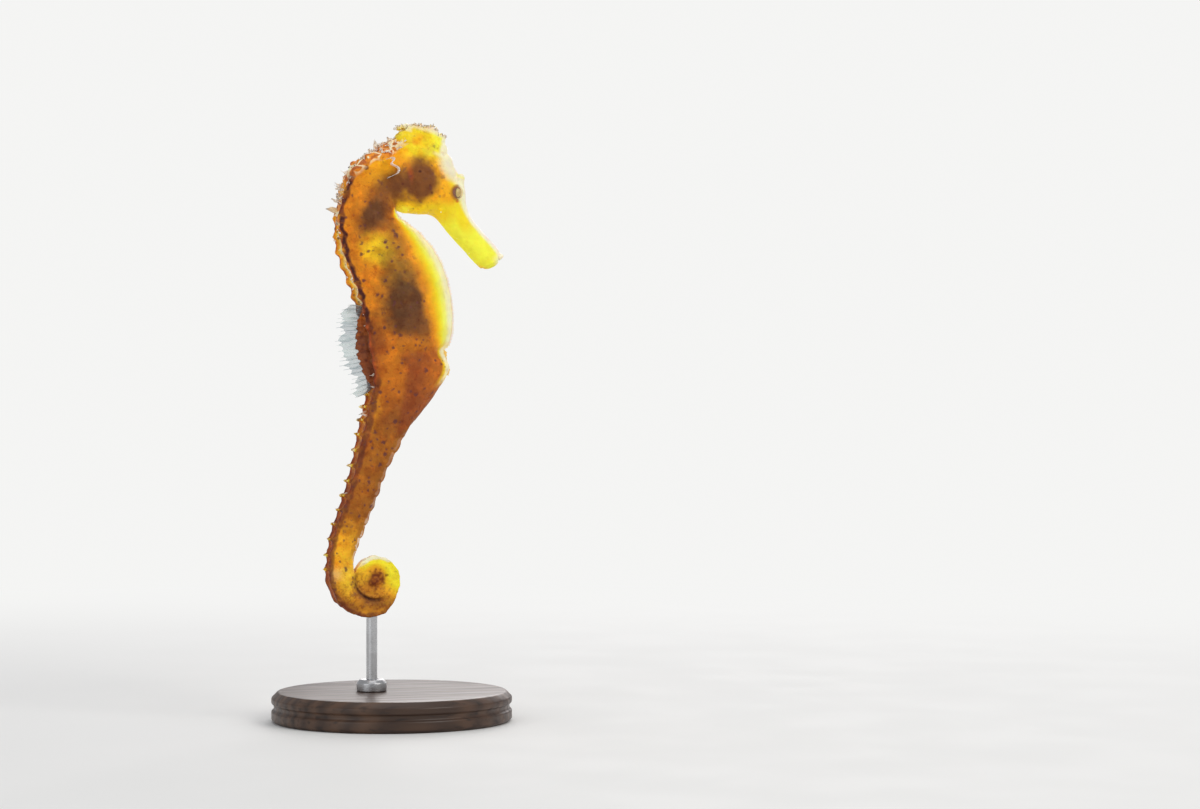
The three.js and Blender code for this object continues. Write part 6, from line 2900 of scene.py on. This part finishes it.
    def _crown(self) -> None:
        """Lace along the crown's rim and the curl behind it."""
        rnd = self.random
        length = float(self.body.length_at(10.0))
        up = self.coronet.from_local(np.array([0, 0, 1.0])) - self.coronet.from_local(np.zeros(3))
        for i in range(self.on_crown):
            turn = 2 * math.pi * (i + 0.8 * rnd.random()) / self.on_crown
            if abs(turn - math.pi) < 0.7:
                continue
            rim = self.coronet.rim(
                np.array([turn - 0.05, turn, turn + 0.05]), rnd.uniform(4.5, 5.1)
            )
            flare = np.array([math.cos(turn), 0.8 * math.sin(turn), 0.9 + 0.8 * rnd.random()])
            out = unit(self.coronet.from_local(flare) - self.coronet.from_local(np.zeros(3)))
            self._add(
                rim[1], out, rim[2] - rim[0], 0.4 + 0.35 * rnd.random(), 0.8, length, 0.0, fork=1.2,
                curl=rnd.uniform(0.2, 1.8),
            )
        for x, z, half in self.coronet.curl_line[1:]:
            for _ in range(9):
                middle = self.coronet.from_local(
                    np.array([x + rnd.uniform(-0.4, 0.4), half * rnd.uniform(-1, 1), z])
                )
                away = unit(middle - self.coronet.from_local(np.array([-2.6, 0.0, 3.4])))
                self._add(
                    middle + 0.2 * away, unit(away + 0.3 * up), np.array([0.3, 1.0, 0.2]),
                    0.3 + 0.3 * rnd.random(), 0.7, length, 0.0, fork=1.2,
                    curl=rnd.uniform(-0.8, 1.4),
                )

    def _keel(self) -> None:
        """Tiny pale teeth down the middle of the belly, and a frill under the throat."""
        rnd = self.random
        start, end = self.body.length_of("neck"), self.body.length_of("vent")
        for length in np.arange(start, end - 1.5, 0.42):
            place = float(self.body.place_at(length + 0.4 * rnd.random()))
            self.on_body(
                place, 8 + 0.1 * rnd.normal(), 0.2 + 0.22 * rnd.random() ** 2,
                0.22 + 0.3 * rnd.random(), lean=0.5 * rnd.normal(), sideways=0.5 * rnd.normal(),
                fork=0.6, curl=0.6 * rnd.normal(),
            )
        for place in np.linspace(14.6, 16.3, 22):
            self.on_body(
                float(place), 8 + 0.35 * rnd.normal(), 0.5, 0.45, sideways=rnd.uniform(-1, 1),
                fork=0.4,
            )

    def _head(self) -> None:
        """A few tiny bumps along the snout, cheek and throat."""
        rnd = self.random
        for place in (0.6, 1.35, 1.8, 2.2, 2.9, 3.4, 4.2, 5.5, 6.8, 8.4):
            for _ in range(2):
                self.on_body(
                    place + 0.2 * rnd.normal(), 8 + 0.9 * rnd.normal(), 0.32, 0.22, fork=0.2
                )
        for place in np.linspace(0.8, 8.5, 46):
            self.on_body(
                place, 0.7 * rnd.normal(), 0.2, 0.26, sideways=rnd.uniform(-1, 1), fork=0.5
            )

    def _blade(self, n: int, flap: Flap) -> tuple[Solid, Array, Array, Array, Array]:
        """One flap as a thin lobed blade.

        Args:
            n: Its number, which shapes its lobes and ruffles.
            flap: Its place and sizes.

        Returns:
            Its mesh and, for each point, how far out it is, how near the edge, its colour and its
            place in the flat layout.
        """
        t = 1 - (1 - np.linspace(0, 1, self.rows)) ** 1.7
        across = np.linspace(-1, 1, self.columns)
        loop = np.concatenate([across, across[::-1]])
        lens = 1 - 0.8 * loop**2
        sign = np.repeat([1.0, -1.0], self.columns)
        leaf = (0.62 + 0.5 * np.sin(np.pi * t**0.8)) * np.sqrt(1 - 0.75 * t**6)
        face = unit(np.cross(flap.across, flap.out))
        width = flap.wide / 2 * leaf
        lobes = 0.2 * flap.fork * np.cos(4.4 * loop + n) - 0.3 * loop**2
        stretch = 1 + lobes[None] * t[:, None] ** 2
        angle = flap.curl * t**1.3
        steps = np.diff(t, prepend=0)[:, None]
        along = np.cumsum(np.stack([np.cos(angle), np.sin(angle)], -1) * steps, 0)
        twist = flap.twist * t
        aside = np.cos(twist)[:, None] * flap.across + np.sin(twist)[:, None] * face
        ruffle = 0.26 * flap.wide * np.sin(3.2 * loop[None] + 5 * t[:, None] + n) * t[:, None]
        thick = self.thick / 2 * lens * sign * (1 - 0.5 * t)[:, None]
        reach = (along[:, :1] * flap.out + along[:, 1:] * face)[:, None]
        points = (
            flap.root
            + flap.long * stretch[..., None] * reach
            + (loop[None] * width[:, None])[..., None] * aside[:, None]
            + (ruffle + thick)[..., None] * face
        )
        tip = np.concatenate([np.repeat(t * flap.pale, len(loop)), [0, flap.pale]])
        edge = np.concatenate([np.tile(np.abs(loop), self.rows), [0, 0]])
        ground = np.zeros((len(points) * len(loop) + 2, 3)) + flap.ground
        return Solid.loft(points), tip, edge, ground, self._patch(flap, t, loop)

    def _patch(self, flap: Flap, t: Array, loop: Array) -> Array:
        """The flap's small patch of the flat layout, round the place of its root.

        Args:
            flap: The flap.
            t: Shares along its outline.
            loop: The points of its outline.

        Returns:
            The patch's corners.
        """
        length, around = flap.place
        strip = self.unwrap.strip_of(np.array([length]))
        u, v = self.unwrap.spread(np.array([length]), np.array([around % ROUND]), strip)
        half = self.patch / 2
        sides = np.tile(loop, self.rows) * half + u[0]
        rises = (np.repeat(t, len(loop)) - 0.5) * self.patch + v[0]
        return np.vstack([np.stack([sides, rises], -1), [[u[0], v[0] - half], [u[0], v[0] + half]]])

    def build(self, materials: Materials) -> Piece:
        """Makes every flap as one closed-skinned mesh and dresses it.

        Args:
            materials: The finishes.

        Returns:
            The new piece.
        """
        for plant in (self._nape, self._back, self._crown, self._keel, self._head):
            plant()
        blades = [self._blade(n, flap) for n, flap in enumerate(self.flaps)]
        parts, tips, edges, grounds, layout = zip(*blades, strict=True)
        whole = Solid.joined(parts)
        mesh = whole.to_mesh("skin_flaps")
        write_numbers(mesh, "tip", np.concatenate(tips))
        write_numbers(mesh, "edge", np.concatenate(edges))
        write_numbers(mesh, "ground", np.vstack(grounds))
        layer = mesh.uv_layers.new(name="OFBake")
        layer.data.foreach_set(
            "uv", np.vstack(layout)[read_corners(mesh)].astype(np.float32).ravel()
        )
        LOG.info("skin flaps: %d", len(self.flaps))
        return dressed(place_object(mesh, materials.get("lace")), "fin")


# ---------------------------------------------------------------- stand


@dataclass(frozen=True)
class Stand:
    """The display stand: a turned base, a rod up to the coil, and a collar round its foot."""

    base_radius: float = 24.0
    base_height: float = 6.0
    chamfer: float = 1.2
    bead: float = 1.6
    bead_depth: float = 0.5
    rod_radius: float = 1.1
    collar_radius: float = 3.0
    collar_height: float = 2.4
    axis_x: float = -4.15

    def _turned(self, profile: list[Pair], x: float, sides: int = 160) -> Solid:
        """A profile turned round an upright axis at x.

        Args:
            profile: The radius and height of each corner.
            x: The axis's place along x.
            sides: How many sides it has round.

        Returns:
            The turned shape.
        """
        turn = np.linspace(0, 2 * np.pi, sides, endpoint=False)
        rows = np.array(
            [[(x + r * math.cos(a), r * math.sin(a), z) for a in turn] for r, z in profile]
        )
        return Solid.loft(rows)

    @staticmethod
    def rounded(corners: list[Pair], radius: float, steps: int = 5) -> list[Pair]:
        """A profile with its inner corners rounded.

        Args:
            corners: Points of radius and height; the first and last stay as they are.
            radius: How far from a corner its rounding starts.
            steps: How many points stand for a corner.

        Returns:
            The new profile.
        """
        made = [corners[0]]
        for before, here, after in zip(corners, corners[1:], corners[2:], strict=False):
            b, h, a = (np.array(p, float) for p in (before, here, after))
            cut = min(radius, np.linalg.norm(h - b) * 0.45, np.linalg.norm(a - h) * 0.45)
            p, q = h + unit(b - h) * cut, h + unit(a - h) * cut
            for t in np.linspace(0, 1, steps):
                made.append(tuple((1 - t) ** 2 * p + 2 * t * (1 - t) * h + t**2 * q))
        return [*made, corners[-1]]

    def base(self) -> Solid:
        """The disc, with a softened rim and a bead cut round its side.

        Returns:
            The disc.
        """
        r, h, b, d = self.base_radius, self.base_height, self.bead, self.bead_depth
        corners = [
            (0.2, 0), (r - 0.6, 0), (r, 0.6), (r, h / 2 - b / 2), (r - d, h / 2 - b / 4),
            (r - d, h / 2 + b / 4), (r, h / 2 + b / 2), (r, h - self.chamfer),
            (r - self.chamfer, h), (16.0, h), (8.0, h), (3.6, h), (0.2, h),
        ]
        return self._turned(self.rounded(corners, 0.25), 0.0, 200)

    def collar(self) -> Solid:
        """The ring round the rod's foot.

        Returns:
            The ring.
        """
        r, h, z = self.collar_radius, self.collar_height, self.base_height
        bore = self.rod_radius + 0.02
        corners = [
            (bore, z), (r - 0.15, z), (r, z + 0.15), (r, z + h - 0.7), (r - 0.6, z + h),
            (bore + 0.35, z + h), (bore, z + h - 0.3),
        ]
        return self._turned(self.rounded(corners, 0.12), self.axis_x, 96)

    def rod(self, skin: Piece) -> Solid:
        """The rod, its top cut to the underside of the skin that rests on it.

        Args:
            skin: The skin that the rod holds.

        Returns:
            The rod.
        """
        tree = BVHTree.FromObject(skin, bpy.context.evaluated_depsgraph_get())
        turn = np.linspace(0, 2 * np.pi, 48, endpoint=False)
        top = []
        for radius in (self.rod_radius, self.rod_radius * 0.93, self.rod_radius * 0.5, 0.05):
            ring = []
            for a in turn:
                x, y = self.axis_x + radius * math.cos(a), radius * math.sin(a)
                hit = tree.ray_cast(Vector((x * MM, y * MM, 0.01)), Vector((0, 0, 1)), 0.03)[0]
                ring.append((x, y, (hit[2] / MM if hit else LIFT) - 0.02))
            top.append(ring)
        limit = np.array(top)[0, :, 2].min()
        shaft = [
            [(self.axis_x + r * math.cos(a), r * math.sin(a), z) for a in turn]
            for r, z in (
                (self.rod_radius, self.base_height),
                (self.rod_radius, self.base_height + 1),
                (self.rod_radius, 14.0),
                (self.rod_radius, limit - 0.5),
            )
        ]
        return Solid.loft(np.array(shaft + top))

    def build(self, materials: Materials, skin: Piece) -> list[Piece]:
        """Makes base, collar and rod and dresses them.

        Args:
            materials: The finishes.
            skin: The skin that the rod holds.

        Returns:
            The new pieces.
        """
        made = []
        for name, solid, finish, slot in (
            ("stand_base_turned", self.base(), "walnut", "stand_wood"),
            ("stand_collar_turned", self.collar(), "steel", "stand_steel"),
            ("stand_rod_round", self.rod(skin), "steel", "stand_steel"),
        ):
            mesh = solid.to_mesh(name)
            mesh.set_sharp_from_angle(angle=math.radians(32))
            node = "_".join(name.split("_")[:2])
            made.append(dressed(place_object(mesh, materials.get(finish)), slot, node))
        return made


# ---------------------------------------------------------------- studio


@dataclass(frozen=True)
class Studio:
    """Pale floor, soft lights and the camera."""

    turn: float = -18.0
    distance: float = 566.7
    aside: float = 41.6
    eye_height: float = 63.2
    lens: float = 85.0
    floor_radius: float = 2.4
    aim: Triple = (0, 0, 0.065)
    fade: Pair = (0.1, 0.42)  # metres from the middle where the floor starts and ends fading
    pale: Triple = (0.91, 0.91, 0.9)
    # name, place in metres, size, power and colour
    lamps: tuple[tuple, ...] = (
        ("key", (0.45, -0.62, 0.62), 0.5, 3.0, (1.0, 0.97, 0.92)),
        ("fill", (-0.7, -0.5, 0.3), 0.7, 1.5, (0.94, 0.97, 1.0)),
        ("rim", (0.35, 0.7, 0.45), 0.5, 2.8, (1.0, 0.96, 0.95)),
        ("top", (0.0, 0.05, 0.9), 0.6, 1.4, (1, 1, 1)),
    )

    def camera(self) -> Piece:
        """The camera, level, looking across the animal's right side.

        Returns:
            The camera.
        """
        data = bpy.data.cameras.new("camera")
        data.lens, data.sensor_width = self.lens, 36
        data.clip_start, data.clip_end = 0.01, 20
        made = bpy.data.objects.new("camera", data)
        a = math.radians(self.turn)
        right, back = Vector((math.cos(a), math.sin(a), 0)), Vector((math.sin(a), -math.cos(a), 0))
        made.location = (
            (right * self.aside + back * self.distance + Vector((0, 0, self.eye_height))) * MM
        )
        made.rotation_euler = (math.radians(90), 0, a)
        bpy.context.scene.collection.objects.link(made)
        bpy.context.scene.camera = made
        return made

    def lamp(self, name: str, place: Triple, size: float, power: float,
             colour: Triple) -> None:
        """A square soft light at a place in metres, turned to the model.

        Args:
            name: Its name.
            place: Where it hangs.
            size: The length of its side.
            power: Its power in watts.
            colour: Its colour.
        """
        data = bpy.data.lights.new(name, "AREA")
        data.shape, data.size, data.energy, data.color = "SQUARE", size, power, colour
        made = bpy.data.objects.new(name, data)
        made.location = place
        made.rotation_euler = (Vector(self.aim) - Vector(place)).to_track_quat("-Z", "Y").to_euler()
        bpy.context.scene.collection.objects.link(made)

    def floor(self) -> Piece:
        """A wide pale disc that fades into the pale surroundings.

        Returns:
            The disc.
        """
        turn = np.linspace(0, 2 * np.pi, 64, endpoint=False)
        rings = np.array([[(r * math.cos(a) / MM, r * math.sin(a) / MM, 0) for a in turn]
                          for r in (0.02, 0.3, 0.8, 1.5, self.floor_radius)])
        disc = Solid.loft(rings, closed_ends=False)
        disc.triangles = np.array([[0, i, i + 1] for i in range(1, 63)])
        paint = Paint("pale_floor", Finish(specular=0.2))
        tone = paint.mix(paint.clouds(9, 2), (0.8, 0.8, 0.79), (0.83, 0.83, 0.82))
        paint.finish(tone, paint.ramp(paint.clouds(40, 2), 0.3, 0.7, 0.7, 0.85))
        reach = paint.node("VectorMath", operation="LENGTH")
        paint.feed(reach.inputs[0], paint.coordinates)
        fade = paint.ramp(reach.outputs["Value"], *self.fade)
        bright = paint.node("Emission", in_Color=self.pale, in_Strength=1.0)
        blend = paint.node("MixShader")
        paint.feed(blend.inputs[0], fade)
        paint.feed(blend.inputs[1], paint.shader.outputs[0])
        paint.feed(blend.inputs[2], bright.outputs[0])
        output = next(n for n in paint.tree.nodes if n.type == "OUTPUT_MATERIAL")
        paint.feed(output.inputs[0], blend.outputs[0])
        made = place_object(disc.to_mesh("floor"), paint.material)
        return made

    def world(self) -> None:
        """A plain pale surround that also fills the shadows."""
        world = bpy.data.worlds.new("surround")
        world.use_nodes = True
        tree = world.node_tree
        shown = tree.nodes["Background"]
        shown.inputs["Color"].default_value = (*self.pale, 1)
        shown.inputs["Strength"].default_value = 1.0
        light = tree.nodes.new("ShaderNodeBackground")
        light.inputs["Color"].default_value = (0.95, 0.97, 1.0, 1)
        light.inputs["Strength"].default_value = 0.45
        path = tree.nodes.new("ShaderNodeLightPath")
        either = tree.nodes.new("ShaderNodeMath")
        either.operation, either.use_clamp = "ADD", True
        tree.links.new(path.outputs["Is Camera Ray"], either.inputs[0])
        tree.links.new(path.outputs["Is Transmission Ray"], either.inputs[1])
        blend = tree.nodes.new("ShaderNodeMixShader")
        tree.links.new(either.outputs[0], blend.inputs[0])
        tree.links.new(light.outputs[0], blend.inputs[1])
        tree.links.new(shown.outputs[0], blend.inputs[2])
        tree.links.new(blend.outputs[0], tree.nodes["World Output"].inputs[0])
        bpy.context.scene.world = world

    def build(self) -> None:
        """Sets up camera, floor, lights and surround."""
        self.camera()
        self.floor()
        self.world()
        for name, place, size, power, colour in self.lamps:
            self.lamp(name, place, size, power, colour)
        bpy.context.scene.view_settings.view_transform = "Standard"


# ---------------------------------------------------------------- everything together


def main() -> None:
    """Builds the model and its surroundings."""
    logging.basicConfig(level=logging.INFO, format="%(message)s")
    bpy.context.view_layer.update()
    body = Body()
    relief = Relief(body)
    markings = Markings(body, relief)
    eye, coronet = EyePlace(), Coronet()
    materials = Materials()
    unwrap = Unwrap(body)
    skin = Skin(body, relief, markings, eye, coronet).build(materials, unwrap)
    LOG.info("%s: %d faces", skin.name, len(skin.data.polygons))
    pieces = Eyes(eye).build(materials)
    pieces += Fins(body).build(materials)
    pieces.append(Fringe(body, markings, coronet, unwrap).build(materials))
    pieces += Stand().build(materials, skin)
    for piece in pieces:
        LOG.info("%s: %d faces", piece.name, len(piece.data.polygons))
    Studio().build()


if __name__ == "__main__":
    main()
